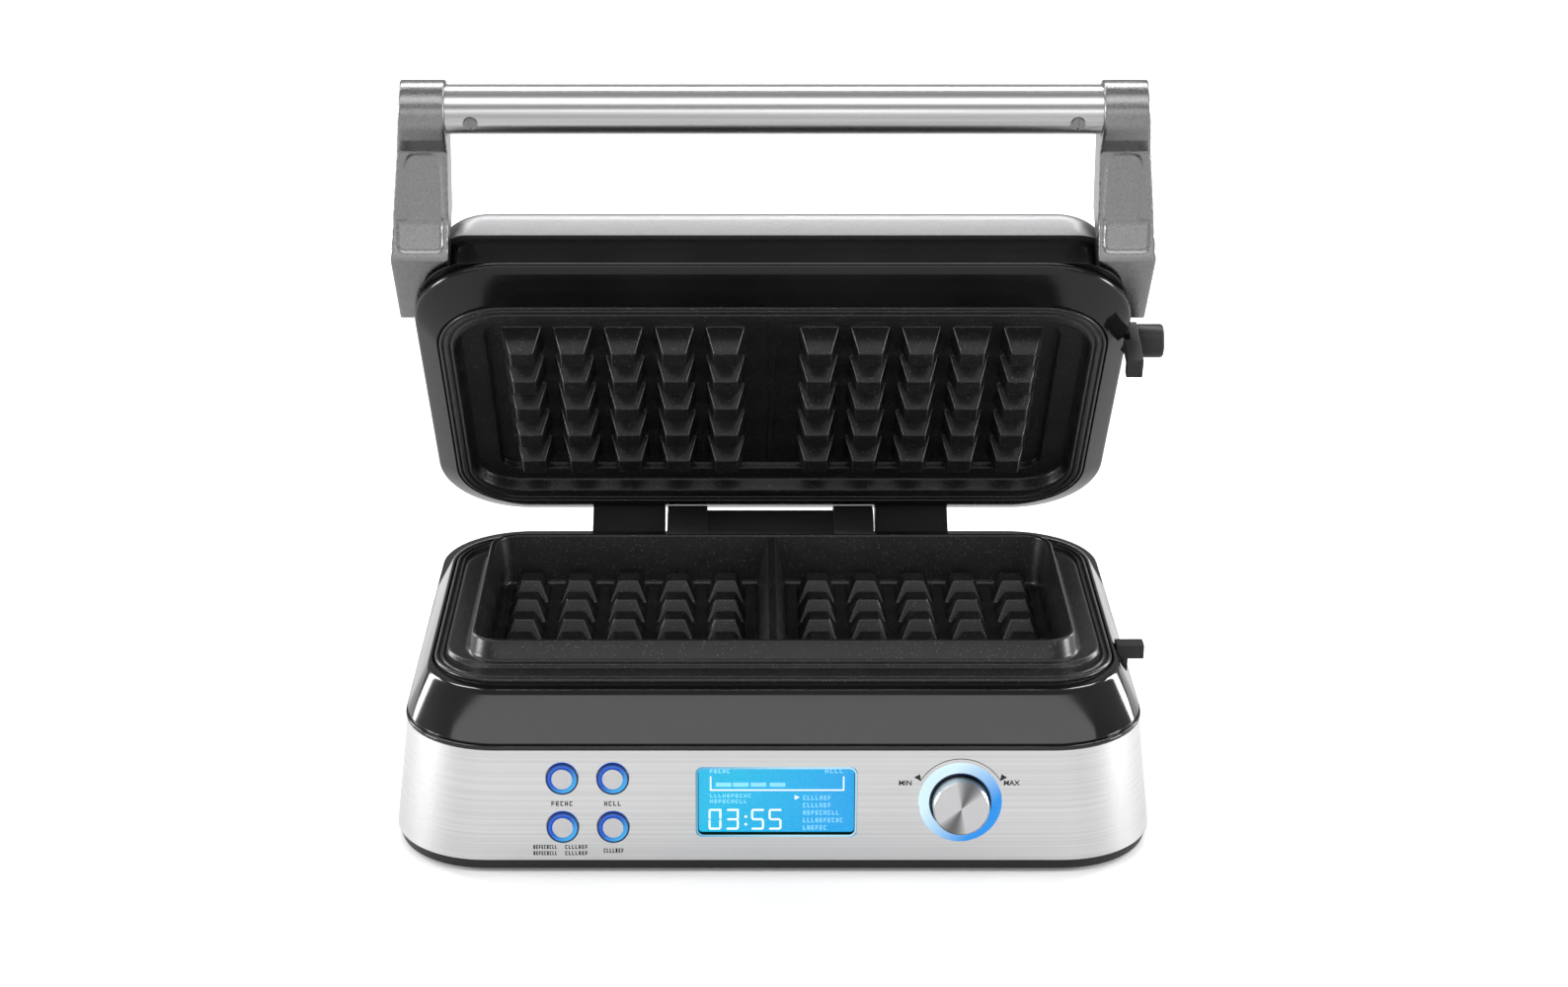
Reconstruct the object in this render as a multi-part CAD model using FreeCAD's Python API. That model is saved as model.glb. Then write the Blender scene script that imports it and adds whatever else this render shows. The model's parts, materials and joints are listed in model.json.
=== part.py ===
import FreeCAD, Part
import math
import os
from FreeCAD import Vector as V

# A two-square waffle maker: a steel-banded base with a display panel, a lower cooking plate
# with a raised wall, and a hinged lid with a bar handle and a side latch. Millimetres, +Z up,
# front towards -Y, the origin on the table under the middle of the base.
# The lid is drawn closed and turned open about its hinge at the end.

os.makedirs("parts", exist_ok=True)

# ---- overall sizes ----
base_width = 300.8
base_depth = 234.0
band_height = 45.0
foot_height = 2.0
tray_top = 6.5
corner_radius = 38.0
shoulder_height = 18.5
lid_open_angle = 52.04

# ---- sheet and moulding thicknesses ----
steel_sheet = 1.2
moulding_wall = 3.0
plate_floor = 3.0

# ---- cooking plates ----
pockets = 5
lower_peg_height = 8.85
upper_peg_height = 11.3
peg_root_share = 0.814
lower_tip_share = 0.36
upper_tip_share = 0.39
wall_height = 8.0
wall_top_thickness = 2.0
divider_foot = 6.4
divider_top = 1.75

# ---- controls on the front panel ----
control_inset = 78.21
button_pitch = 19.6
button_cap_radius = 4.0
button_ring_radius = 6.3
button_travel = 1.2
display_width = 62.4
display_height = 28.8
knob_radius = 10.9
knob_ring_radius = 16.1
knob_height = 7.5
shaft_radius = 3.0

# ---- hinge, handle and latch ----
hinge_pin_radius = 4.0
knuckle_radius = 12.0
bar_radius = 9.65
latch_swing = 22.0

# ---- clearances ----
run = 0.05
slip = 0.1
gap = 0.3

# ---- heights and outlines that follow from the sizes above ----
band_top = tray_top + band_height
top_z = band_top + shoulder_height
rim_z = band_top + 2.0
half_w = base_width / 2
half_d = base_depth / 2
side_draft = 5.1
front_draft = 4.55
band_hw = half_w - side_draft
band_front = -half_d + front_draft
band_back = half_d - 5.0
top_hw = band_hw - 8.1
top_front = band_front + 15.85
top_back = half_d - 50.4
plate_y = (top_front + top_back) / 2
plate_hw = top_hw - 2.0
plate_hd = (top_back - top_front) / 2 - 7.2
wall_hw = plate_hw - 16.2
wall_hd = plate_hd - 18.3
well_hw = wall_hw - 3.5
well_hd = wall_hd - 2.3
well_z = top_z - 12.5
pitch_x = (well_hw - divider_foot) / (pockets + 0.225)
pitch_y = 2 * well_hd / (pockets + 0.16)
group_x = (well_hw + divider_foot) / 2 + 0.14

hinge_y = plate_y + plate_hd + 3.9 + knuckle_radius
hinge_z = band_top + 3.8
hinge = V(0, hinge_y, hinge_z)

# lid, drawn closed
lid_face = top_z + wall_height + 2.8
lid_floor = lid_face + 3.0
ring_z = top_z + 5.0
lid_hw = plate_hw + 10.3
lid_front = plate_y - plate_hd - 21.6
lid_back = plate_y + plate_hd + 14.6
shell_hw = lid_hw - 11.5
shell_front = lid_front + 8.0
shell_back = lid_back - 9.0
shell_z = top_z + 13.5
shell_corner = 14.0
cover_z = shell_z + 16.5
lid_top = cover_z + 16.5

panel_z = (tray_top + band_top) / 2 + 1.4
panel_angle = math.degrees(math.atan(front_draft / band_height))
panel_y = -half_d + front_draft * (panel_z - tray_top) / band_height
control_x = half_w - control_inset


def box(x0, x1, y0, y1, z0, z1):
    return Part.makeBox(x1 - x0, y1 - y0, z1 - z0, V(x0, y0, z0))


def rod(x, y, z, radius, length, way=V(0, 0, 1)):
    return Part.makeCylinder(radius, length, V(x, y, z), way)


def outline(hw, y0, y1, radius, z):
    """Rounded rectangle, centred on X=0, as a closed wire."""
    k = radius * math.sin(math.radians(45))
    corners = [
        (hw, y0, hw - radius, y0 + radius, k, -k),
        (hw, y1, hw - radius, y1 - radius, k, k),
        (-hw, y1, -hw + radius, y1 - radius, -k, k),
        (-hw, y0, -hw + radius, y0 + radius, -k, -k),
    ]
    ends = []
    for x, y, cx, cy, kx, ky in corners:
        a, b = V(cx, y, z), V(x, cy, z)
        if (x > 0) != (y == y0):
            a, b = b, a
        ends.append((a, V(cx + kx, cy + ky, z), b))
    edges = []
    for i, (a, mid, b) in enumerate(ends):
        edges.append(Part.Arc(a, mid, b).toShape())
        edges.append(Part.makeLine(b, ends[(i + 1) % 4][0]))
    return Part.Wire(edges)


def slab(hw, y0, y1, radius, z0, z1):
    return Part.Face(outline(hw, y0, y1, radius, z0)).extrude(V(0, 0, z1 - z0))


def taper(*sections):
    """Straight-sided solid through rounded rectangles given as (hw, y0, y1, radius, z)."""
    return Part.makeLoft([outline(*s) for s in sections], True, True)


def centred(hw, hd, radius, z0, z1):
    return slab(hw, plate_y - hd, plate_y + hd, radius, z0, z1)


def prism_x(points, x0, x1):
    """Side profile of (y, z) points, run along X."""
    wire = Part.makePolygon([V(x0, y, z) for y, z in points + points[:1]])
    return Part.Face(wire).extrude(V(x1 - x0, 0, 0))


def peg(x, y, root_x, root_y, tip_share, z0, z1):
    """Square-based peg with sloping sides."""
    wires = []
    for z, s in ((z0, 1.0), (z1, tip_share / peg_root_share)):
        a, b = root_x * s / 2, root_y * s / 2
        corners = [V(x + i * a, y + j * b, z) for i, j in ((-1, -1), (1, -1), (1, 1), (-1, 1))]
        wires.append(Part.makePolygon(corners + corners[:1]))
    return Part.makeLoft(wires, True, True)


def peg_field(tip_share, z0, z1):
    pegs = []
    for side in (-1, 1):
        for i in range(pockets):
            for j in range(pockets):
                x = side * group_x + (i - (pockets - 1) / 2) * pitch_x
                y = plate_y + (j - (pockets - 1) / 2) * pitch_y
                pegs.append(
                    peg(x, y, pitch_x * peg_root_share, pitch_y * peg_root_share, tip_share, z0, z1)
                )
    return pegs


def panel(shape, x=0.0, up=0.0):
    """Move a shape drawn facing +Z onto the sloping front panel."""
    moved = shape.copy()
    moved.translate(V(x, up, 0))
    turn = FreeCAD.Rotation(V(1, 0, 0), 90 - panel_angle)
    moved.Placement = FreeCAD.Placement(V(0, panel_y, panel_z), turn).multiply(moved.Placement)
    return moved


def opened(shape):
    """Turn a closed-lid shape to the open position."""
    moved = shape.copy()
    moved.rotate(hinge, V(1, 0, 0), -lid_open_angle)
    return moved


def mirrored(shape):
    return shape.mirror(V(0, 0, 0), V(1, 0, 0))


def save(name, *shapes):
    solids = []
    for shape in shapes:
        solids.extend(shape.removeSplitter().Solids)
    body = solids[0] if len(solids) == 1 else Part.makeCompound(solids)
    body.exportStep("parts/" + name + ".step")
    print(name, len(solids), "solid(s)", round(body.Volume / 1000, 2), "cm3")


def save_lid(name, *shapes):
    save(name, *[opened(s) for s in shapes])


# ---------------------------------------------------------------- base shell
bottom = (half_w, -half_d, half_d, corner_radius, tray_top)
upper = (band_hw, band_front, band_back, corner_radius, band_top)


def band_section(inset, z):
    """Outline inside the band at a height, a given distance in from its outer face."""
    share = (z - tray_top) / band_height
    return (
        half_w - side_draft * share - inset,
        -half_d + front_draft * share + inset,
        half_d - (half_d - band_back) * share - inset,
        corner_radius - inset,
        z,
    )


# corner posts the tray screws run into, (x, y, top of post)
post_spots = []
for side in (-1, 1):
    post_spots.append((side * (plate_hw - 6.7), plate_y - plate_hd + 11.4, top_z - 4.5))
    post_spots.append((side * (plate_hw - 6.7), plate_y + plate_hd - 19.4, top_z - 4.5))
    post_spots.append((side * (plate_hw - 15.2), half_d - 19.0, rim_z - 1.0))
post_foot = 14.0

tray = taper(
    (half_w - 1.6, -half_d + 1.6, half_d - 1.6, corner_radius - 1.6, foot_height),
    bottom,
)
tray = tray.fuse(taper(band_section(steel_sheet + slip, tray_top), band_section(steel_sheet + slip, 11.0)))
tray = tray.cut(taper(band_section(moulding_wall + 1.0, 5.0), band_section(moulding_wall + 1.0, 11.5)))
# four corner feet and one under the middle, which carries the weight of the plates
foot_spots = [(i * (half_w - 38), j * (half_d - 34)) for i in (-1, 1) for j in (-1, 1)]
foot_spots.append((0, 0))
board_spots = [(i * 52.0, y) for i in (-1, 1) for y in (28.0, 72.0)]
tray = tray.fuse([rod(x, y, 4.0, 7.0, post_foot - 4.0 - slip) for x, y, _ in post_spots])
tray = tray.fuse([rod(x, y, 4.0, 4.0, 10.0 - slip) for x, y in board_spots])
tray = tray.cut([rod(x, y, 1.0, 4.4, 5.2) for x, y, _ in post_spots])
tray = tray.cut([rod(x, y, 1.0, 2.2, 16.0) for x, y, _ in post_spots])
tray = tray.cut([rod(x, y, 1.0, 4.0 + slip, 6.0) for x, y in foot_spots])
for i in range(9):
    tray = tray.cut(box(-32 + 8 * i - 2, -32 + 8 * i + 2, -60, -20, 1, 6))
save("base_tray", tray)

feet = []
for x, y in foot_spots:
    foot = Part.makeCone(9.0, 10.0, foot_height - slip, V(x, y, 0))
    feet.append(foot.fuse(rod(x, y, foot_height - slip - 0.1, 4.0, 3.6)))
save("rubber_feet", *feet)

save(
    "tray_screws",
    *[rod(x, y, 4.0, 4.0, 2.0).fuse(rod(x, y, 5.9, 2.0, 20.0)) for x, y, _ in post_spots],
)

band = taper(bottom, upper)
band = band.cut(taper(band_section(steel_sheet, tray_top - 1), band_section(steel_sheet, band_top + 1)))
button_rows = (button_pitch + 0.4) / 2
button_spots = [(i * button_pitch / 2 - control_x, j * button_rows) for j in (1, -1) for i in (-1, 1)]
display_x = 1.0


def display_block(grow, radius, z0, z1):
    w, h = display_width / 2 + grow, display_height / 2 + grow
    return panel(slab(w, -h, h, radius, z0, z1), display_x)


for x, up in button_spots:
    band = band.cut(panel(rod(0, 0, -6, button_ring_radius + slip, 12), x, up))
band = band.cut(display_block(slip, 2.7, -6, 6))
band = band.cut(panel(rod(0, 0, -6, knob_ring_radius + slip, 12), control_x))
gland_x = control_x - 12
gland_z = tray_top + 18.5
gland_face = half_d - 5.0 * (gland_z - 11.0 - tray_top) / band_height + 0.2
band = band.cut(rod(gland_x, half_d - 14, gland_z, 8.0 + slip, 28, V(0, 1, 0)))
save("steel_band", band)


# ---------------------------------------------------------------- collar
shoulder_foot = (band_hw, band_front + 0.4, hinge_y + 6.7, corner_radius, rim_z)
shoulder_top = (top_hw, top_front, top_back, corner_radius - 8.0, top_z)


def shoulder(grow):
    """Sloping black shoulder between the steel band and the cooking plate."""
    ends = []
    for hw, y0, y1, radius, z in (shoulder_foot, shoulder_top):
        ends.append((hw + grow, y0 - grow, y1 + grow, radius + grow, z))
    return taper(*ends)


seat_z = top_z - 1.7
shelf_z = top_z - 4.8
notch_hw = 92.0
notch_front = plate_y + plate_hd + 0.8
notch_back = half_d - 11.0
collar = slab(band_hw + 0.5, band_front - 0.5, band_back + 0.5, corner_radius + 0.5, band_top, rim_z)
collar = collar.fuse(shoulder(0.0))
tongue = taper(band_section(steel_sheet + slip, band_top - 2), band_section(steel_sheet + slip, band_top))
collar = collar.fuse(tongue)
inner = []
for hw, y0, y1, radius, z in (shoulder_foot, shoulder_top):
    inner.append([hw - moulding_wall, y0 + moulding_wall, y1 - moulding_wall, radius - moulding_wall, z])
share = (shelf_z - rim_z) / (top_z - rim_z)
cavity_top = [a + (b - a) * share for a, b in zip(inner[0], inner[1])]
collar = collar.cut(taper(inner[0], cavity_top))
collar = collar.cut(slab(*inner[0][:4], band_top - 5, rim_z))
rear_pocket = slab(inner[0][0], inner[0][2] - 60, band_back - 5.0, 30.0, band_top - 5, band_top)
collar = collar.cut(rear_pocket)
collar = collar.cut(centred(wall_hw + 3.0, wall_hd + 3.7, 14.8, shelf_z - 1, top_z + 1))
collar = collar.cut(centred(plate_hw + 0.4, plate_hd + 0.5, 27.4, seat_z, top_z + 1))
collar = collar.fuse([rod(x, y, post_foot, 5.0, z - post_foot + 0.5) for x, y, z in post_spots])
collar = collar.cut([rod(x, y, post_foot - 1, 2.0 + run, 15.0) for x, y, _ in post_spots])
notch_x = notch_hw + slip
collar = collar.cut(box(-notch_x, notch_x, notch_front - slip, notch_back + slip, post_foot, top_z + 5))
save("base_collar", collar)

# ---------------------------------------------------------------- hinge housing
barrel_hw = 45.5
arm_inner = barrel_hw + 1.5
arm_outer = arm_inner + 32.0
housing_floor = hinge_z - knuckle_radius - 4.3
housing = box(-notch_hw, notch_hw, notch_front, notch_back, housing_floor, rim_z)
for side in (-1, 1):
    a, b = sorted((side * (barrel_hw + 0.0), side * (arm_outer + 1.3)))
    pocket = box(a, b, notch_front + 2.0, notch_back - 2.0, housing_floor + 3.0, top_z + 9)
    housing = housing.cut(pocket)
    housing = housing.cut(box(a, b, notch_back - 3.0, notch_back + 1, rim_z - 2.5, rim_z + 1))
barrel = rod(-barrel_hw, hinge_y, hinge_z, 21.0, 2 * barrel_hw, V(1, 0, 0))
for x0 in (-barrel_hw, barrel_hw - 17.5):
    barrel = barrel.fuse(rod(x0, hinge_y, hinge_z, 23.0, 17.5, V(1, 0, 0)))
barrel = barrel.common(box(-notch_hw, notch_hw, notch_front, notch_back, housing_floor, top_z + 20))
cheeks = []
for side in (-1, 1):
    a = side * (arm_outer + 1.3) if side > 0 else side * (arm_outer + 9.3)
    cheek = rod(a, hinge_y, hinge_z, 7.0, 8.0, V(1, 0, 0))
    cheeks.append(cheek.fuse(box(a, a + 8.0, hinge_y - 7, hinge_y + 7, housing_floor + 1, hinge_z)))
front_wall = box(-notch_hw, notch_hw, notch_front, notch_front + 2.0, housing_floor, seat_z)
housing = housing.fuse([barrel, front_wall] + cheeks)
for side in (-1, 1):
    a, b = sorted((side * barrel_hw, side * (arm_outer + 1.3)))
    housing = housing.cut(box(a, b, notch_front + 2.0, notch_back - 3.0, housing_floor + 3.0, top_z + 9))
hollow = rod(-barrel_hw + 14, hinge_y, hinge_z, 17.0, 2 * barrel_hw - 28, V(1, 0, 0))
pocket_hw = barrel_hw - 14
hollow = hollow.fuse(box(-pocket_hw, pocket_hw, hinge_y - 12, hinge_y + 17, housing_floor - 1, hinge_z))
housing = housing.cut(hollow)
pin_start = barrel_hw - 12.0
pin_length = arm_outer + 8.0 - pin_start
for side in (-1, 1):
    housing = housing.cut(
        rod(side * pin_start, hinge_y, hinge_z, hinge_pin_radius + slip / 5, pin_length + 20, V(side, 0, 0))
    )
save("hinge_housing", housing)

save(
    "hinge_pins",
    *[
        rod(side * pin_start, hinge_y, hinge_z, hinge_pin_radius, pin_length, V(side, 0, 0))
        for side in (-1, 1)
    ],
)

washers = []
for side in (-1, 1):
    for x in (barrel_hw + 0.1, arm_outer + 0.3):
        ring = rod(side * x, hinge_y, hinge_z, 6.5, 0.9, V(side, 0, 0))
        washers.append(ring.cut(rod(side * x, hinge_y, hinge_z, hinge_pin_radius + slip, 2, V(side, 0, 0))))
save("hinge_washers", *washers)

# ---------------------------------------------------------------- cord entry
gland = rod(gland_x, half_d - 10, gland_z, 8.0, gland_face + 10.1 - half_d, V(0, 1, 0))
gland = gland.fuse(rod(gland_x, gland_face, gland_z, 11.0, 2.5, V(0, 1, 0)))
gland = gland.cut(rod(gland_x, half_d - 20, gland_z, 3.8, 60, V(0, 1, 0)))
save("cord_gland", gland)
nut = rod(gland_x, half_d - 9.6, gland_z, 10.5, 3.0, V(0, 1, 0))
save("gland_nut", nut.cut(rod(gland_x, half_d - 12, gland_z, 8.0 + run, 9, V(0, 1, 0))))
terminal = box(gland_x - 15, gland_x + 15, half_d - 34, half_d - 22, 5.0, 16.0)
terminal = terminal.cut([rod(gland_x + i * 9, half_d - 28, 10, 2.2, 8) for i in (-1, 0, 1)])
save("terminal_block", terminal)

# ---------------------------------------------------------------- lower cooking plate
moat_z = top_z + 2.0
plate = centred(plate_hw, plate_hd, 27.0, seat_z + slip, top_z + 0.5)
plate = plate.fuse(centred(plate_hw - 3.8, plate_hd - 11.9, 22.0, seat_z + slip, moat_z))
plate = plate.fuse(centred(wall_hw + 2.2, wall_hd + 2.9, 14.0, well_z - plate_floor, moat_z))
plate = plate.fuse(
    taper(
        (wall_hw + 2.2, plate_y - wall_hd - 2.9, plate_y + wall_hd + 2.9, 14.0, moat_z),
        (wall_hw + 1.0, plate_y - wall_hd - 1.0, plate_y + wall_hd + 1.0, 12.0, moat_z + wall_height),
    )
)
for inset in (0.7, 3.0):
    bead = centred(plate_hw - inset, plate_hd - inset, 27.0 - inset, top_z + 0.3, top_z + 1.3)
    bead = bead.cut(centred(plate_hw - inset - 0.9, plate_hd - inset - 0.9, 26.1 - inset, top_z, top_z + 2))
    plate = plate.fuse(bead)
brim = wall_hw + 1.0 - wall_top_thickness, wall_hd + 1.0 - wall_top_thickness
plate = plate.cut(
    taper(
        (well_hw, plate_y - well_hd, plate_y + well_hd, 8.0, well_z),
        (brim[0], plate_y - brim[1], plate_y + brim[1], 10.0, moat_z + wall_height + 0.01),
    )
)
ridge_ends = (plate_y - brim[1] + 0.1, plate_y + brim[1] - 0.1)
ridge_wires = []
for y in ridge_ends:
    corners = [
        V(-divider_foot, y, well_z - 0.5),
        V(divider_foot, y, well_z - 0.5),
        V(divider_top, y, moat_z + wall_height - 1.0),
        V(-divider_top, y, moat_z + wall_height - 1.0),
    ]
    ridge_wires.append(Part.makePolygon(corners + corners[:1]))
ridge = Part.makeLoft(ridge_wires, True, True)
ridge = ridge.common(centred(wall_hw, wall_hd - 0.2, 9.0, well_z - 1, moat_z + wall_height))
plate = plate.fuse(ridge)
plate = plate.fuse(peg_field(lower_tip_share, well_z - 0.01, well_z + lower_peg_height))
screw_spots = [(i * (group_x), plate_y + j * 2 * pitch_y) for i in (-1, 1) for j in (-1, 1)]
plate_under = well_z - plate_floor
plate = plate.cut([rod(x, y, plate_under - 1, 2.0 + run, 4.0) for x, y in screw_spots])
save("lower_plate", plate)


def heater(z):
    """Hairpin heating tube, one bend to the right, straight ends to the left."""
    run_x = well_hw - 46
    bend = 30.0
    y0, y1 = plate_y - bend, plate_y + bend
    path = Part.Wire(
        [
            Part.makeLine(V(-run_x - 20, y0, z), V(run_x, y0, z)),
            Part.Arc(V(run_x, y0, z), V(run_x + bend, plate_y, z), V(run_x, y1, z)).toShape(),
            Part.makeLine(V(run_x, y1, z), V(-run_x - 20, y1, z)),
        ]
    )
    ring = Part.Wire([Part.makeCircle(3.2, V(-run_x - 20, y0, z), V(1, 0, 0))])
    return path.makePipeShell([ring], True, False)


save("lower_heater", heater(plate_under - 3.3))
thermostat = rod(0, plate_y, plate_under - 5.0, 8.0, 4.9)
thermostat = thermostat.fuse(box(-11, 11, plate_y - 3, plate_y + 3, plate_under - 5.0, plate_under - 4.0))
save("lower_thermostat", thermostat)
pan_z = plate_under - 8.5
pan = centred(well_hw + 3, well_hd + 3, 10, pan_z, pan_z + 1.0)
pan_rim = centred(well_hw + 3, well_hd + 3, 10, pan_z, pan_z + 5.0)
pan = pan.fuse(pan_rim.cut(centred(well_hw + 2, well_hd + 2, 9, pan_z - 1, pan_z + 6.0)))
pan = pan.cut([rod(x, y, pan_z - 1, 2.4, 4) for x, y in screw_spots])
save("lower_reflector", pan)
save(
    "lower_plate_screws",
    *[
        rod(x, y, pan_z - 2.1, 4.0, 2.0).fuse(rod(x, y, pan_z - 0.2, 2.0, plate_under + 2.8 - pan_z))
        for x, y in screw_spots
    ],
)

# ---------------------------------------------------------------- latch catch on the base
latch_y = plate_y - 35.0
latch_z = top_z + 17.0
catch = box(top_hw - 2, lid_hw + 4.0, latch_y - 4.3, latch_y + 2.5, top_z - 6, top_z)
catch = catch.fuse(box(top_hw - 2, lid_hw - 2.3, latch_y - 3.5, latch_y + 1.7, rim_z + 1, top_z - 6))
catch = catch.cut(shoulder(run))
catch = catch.cut(centred(plate_hw + 3, plate_hd + 0.5, 27.4, seat_z - 1, top_z + 1))
save("latch_catch", catch)

# ---------------------------------------------------------------- control panel
board_back = -14.0
board_front = -12.4
rings = []
for x, up in button_spots:
    ring = rod(0, 0, -6.0, button_ring_radius, 6.8).fuse(rod(0, 0, -2.9, button_ring_radius + 1.4, 1.4))
    rings.append(panel(ring.cut(rod(0, 0, -7, button_cap_radius + 0.4, 9)), x, up))
save("button_rings", *rings)

button_names = ["power_button", "menu_button", "texture_button", "restart_button"]
for name, (x, up) in zip(button_names, button_spots):
    cap = rod(0, 0, -7.0, button_cap_radius, 8.6).fuse(rod(0, 0, -7.6, button_cap_radius + 1.2, 1.1))
    save(name, panel(cap, x, up))

switches = []
for x, up in button_spots:
    body = box(-3, 3, -3, 3, board_front + slip, -10.2)
    switches.append(panel(body.fuse(rod(0, 0, -10.3, 1.75, 1.1)), x, up))
save("tact_switches", *switches)

board_hw = control_x + 34
board = box(-board_hw, board_hw, -18, 18, board_back, board_front)
post_xs = (-board_hw + 5, board_hw - 5)
board = board.cut([rod(x, y, board_back - 1, 1.6, 5) for x in post_xs for y in (-13, 13)])
save("control_board", panel(board))
spacers = []
for x in post_xs:
    for y in (-13, 13):
        post = rod(0, 0, board_front + slip, 3.0, -steel_sheet - 0.15 - board_front - slip)
        spacers.append(panel(post.fuse(rod(0, 0, board_back - 1.0, 1.5, 4)), x, y))
save("board_spacers", *spacers)

window = display_block(0.0, 2.6, -3.0, -0.1).fuse(display_block(1.6, 3.0, -3.0, -1.5))
save("display_window", window)
save("display_panel", display_block(-1.0, 1.5, -6.9, -3.1))
save("display_holder", display_block(0.4, 1.5, board_front + slip, -7.0))

light = rod(0, 0, -6.0, knob_ring_radius, 6.6).fuse(rod(0, 0, -2.9, knob_ring_radius + 1.8, 1.4))
light = light.cut(rod(0, 0, -7, knob_radius + 0.5, 9))
save("knob_light_ring", panel(light, control_x))
encoder = box(-6.5, 6.5, -6.5, 6.5, board_front + slip, -6.5).fuse(rod(0, 0, -6.6, 4.5, 3.3))
encoder = encoder.cut(rod(0, 0, -11.0, shaft_radius + run, 12))
save("encoder", panel(encoder, control_x))
save("knob_shaft", panel(rod(0, 0, -10.6, shaft_radius, knob_height + 8.1), control_x))
knob = rod(0, 0, -2.0, knob_radius, knob_height + 1.4)
knob = knob.fuse(Part.makeCone(knob_radius, knob_radius - 0.6, 0.6, V(0, 0, knob_height - 0.6)))
knob = knob.cut(rod(0, 0, -3.0, 6.5, 3.6)).cut(rod(0, 0, -3.0, shaft_radius, knob_height + 0.6))
save("browning_knob", panel(knob, control_x))
save("buzzer", panel(rod(0, 0, board_back - 6.1, 6.0, 6.0), -control_x + 36))

power_z = post_foot
power_board = box(-58, 58, 22, 78, power_z, power_z + 1.6)
save("power_board", power_board)
relay = box(-40, -20, 34, 50, power_z + 1.7, power_z + 17)
transformer = box(0, 26, 32, 54, power_z + 1.7, power_z + 20)
capacitor = rod(42, 60, power_z + 1.7, 6.0, 18)
save("power_parts", relay, transformer, capacitor)

# ---------------------------------------------------------------- lid, drawn closed
bezel_lip = ring_z + 0.5
bezel_low = (top_hw, plate_y - plate_hd - 2.8, plate_y + plate_hd + 2.8, 29.0, bezel_lip)
bezel_mid = (lid_hw, lid_front, lid_back, corner_radius, top_z + 10.0)
bezel_high = (lid_hw, lid_front, lid_back, corner_radius, shell_z)
bezel = taper(bezel_low, bezel_mid).fuse(taper(bezel_mid, bezel_high))
lid_plate_hw = plate_hw + 1.1
lid_plate_hd = plate_hd + 1.1
rib_hw = lid_plate_hw - 5.6
rib_hd = lid_plate_hd - 9.3
bezel = bezel.cut(centred(lid_plate_hw + gap, lid_plate_hd + gap, 28.3, bezel_lip - 1, ring_z + 4.2))
bezel = bezel.cut(centred(rib_hw + gap, rib_hd + gap, 20.3, ring_z, shell_z + 1))
arm_front = hinge_y - 9.0
arm_back = hinge_y + 4.0
for side in (-1, 1):
    a, b = sorted((side * (arm_inner - 0.4), side * (arm_outer + 0.4)))
    bezel = bezel.cut(box(a, b, arm_front - slip, lid_back + 5, ring_z - 5, shell_z + 5))
save_lid("lid_bezel", bezel)

slant = 1.0
upper_plate = centred(lid_plate_hw, lid_plate_hd, 28.0, ring_z, ring_z + 4.0)
upper_plate = upper_plate.fuse(centred(rib_hw, rib_hd, 20.0, ring_z, shell_z - 0.2))
upper_plate = upper_plate.fuse(centred(wall_hw + 2.0, wall_hd + 3.0, 12.0, ring_z, lid_floor + 3.2))
rim_in = (plate_hw - 4.9, plate_hd - 8.9)
upper_plate = upper_plate.cut(
    taper(
        (rim_in[0], plate_y - rim_in[1], plate_y + rim_in[1], 21.0, ring_z),
        (rim_in[0] - slant, plate_y - rim_in[1] + slant, plate_y + rim_in[1] - slant, 20.0, lid_face),
    )
)
upper_plate = upper_plate.cut(centred(wall_hw - 1.0, wall_hd, 8.0, lid_face - 1, lid_floor))
upper_plate = upper_plate.fuse(peg_field(upper_tip_share, lid_floor + 0.01, lid_floor - upper_peg_height))
centre_line = box(-1.0, 1.0, plate_y - wall_hd, plate_y + wall_hd, lid_floor - 1, lid_floor + 0.8)
upper_plate = upper_plate.cut(centre_line)
plate_back = lid_floor + 3.2
upper_plate = upper_plate.cut([rod(x, y, plate_back - 2.0, 2.0 + run, 4.0) for x, y in screw_spots])
save_lid("upper_plate", upper_plate)

save_lid("upper_heater", heater(plate_back + 3.4))
cap = rod(0, plate_y, plate_back + 0.1, 8.0, 4.9)
cap = cap.fuse(box(-11, 11, plate_y - 3, plate_y + 3, plate_back + 4.0, plate_back + 5.0))
save_lid("upper_thermostat", cap)
shield_z = plate_back + 7.5
shield = centred(well_hw + 3, well_hd + 3, 10, shield_z, shield_z + 1.0)
shield = shield.cut([rod(x, y, shield_z - 1, 2.4, 4) for x, y in screw_spots])
save_lid("upper_reflector", shield)
screw_run = shield_z + 3.0 - plate_back
save_lid(
    "upper_plate_screws",
    *[
        rod(x, y, shield_z + 1.1, 4.0, 2.0).fuse(rod(x, y, plate_back - 1.8, 2.0, screw_run))
        for x, y in screw_spots
    ],
)

shell = slab(shell_hw, shell_front, shell_back, shell_corner, shell_z, cover_z)
shell_wall = 2.5
shell_sides = (shell_hw - shell_wall, shell_front + shell_wall, shell_back - shell_wall)
shell = shell.cut(slab(*shell_sides, shell_corner - shell_wall, shell_z - 1, cover_z + 1))
arm_screw_spots = [(side * x, cover_z - 7.5) for side in (-1, 1) for x in (arm_inner + 8, arm_outer - 8)]
grip_screw_spots = [lid_front + 38.0, (shell_z + 5.0, cover_z - 4.0)]
for x, z in arm_screw_spots:
    shell = shell.cut(rod(x, shell_back - 10, z, 2.2, 20, V(0, 1, 0)))
for side in (-1, 1):
    for z in grip_screw_spots[1]:
        shell = shell.cut(rod(side * (shell_hw - 12), grip_screw_spots[0], z, 2.2, 20, V(side, 0, 0)))
save_lid("lid_shell", shell)


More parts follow.
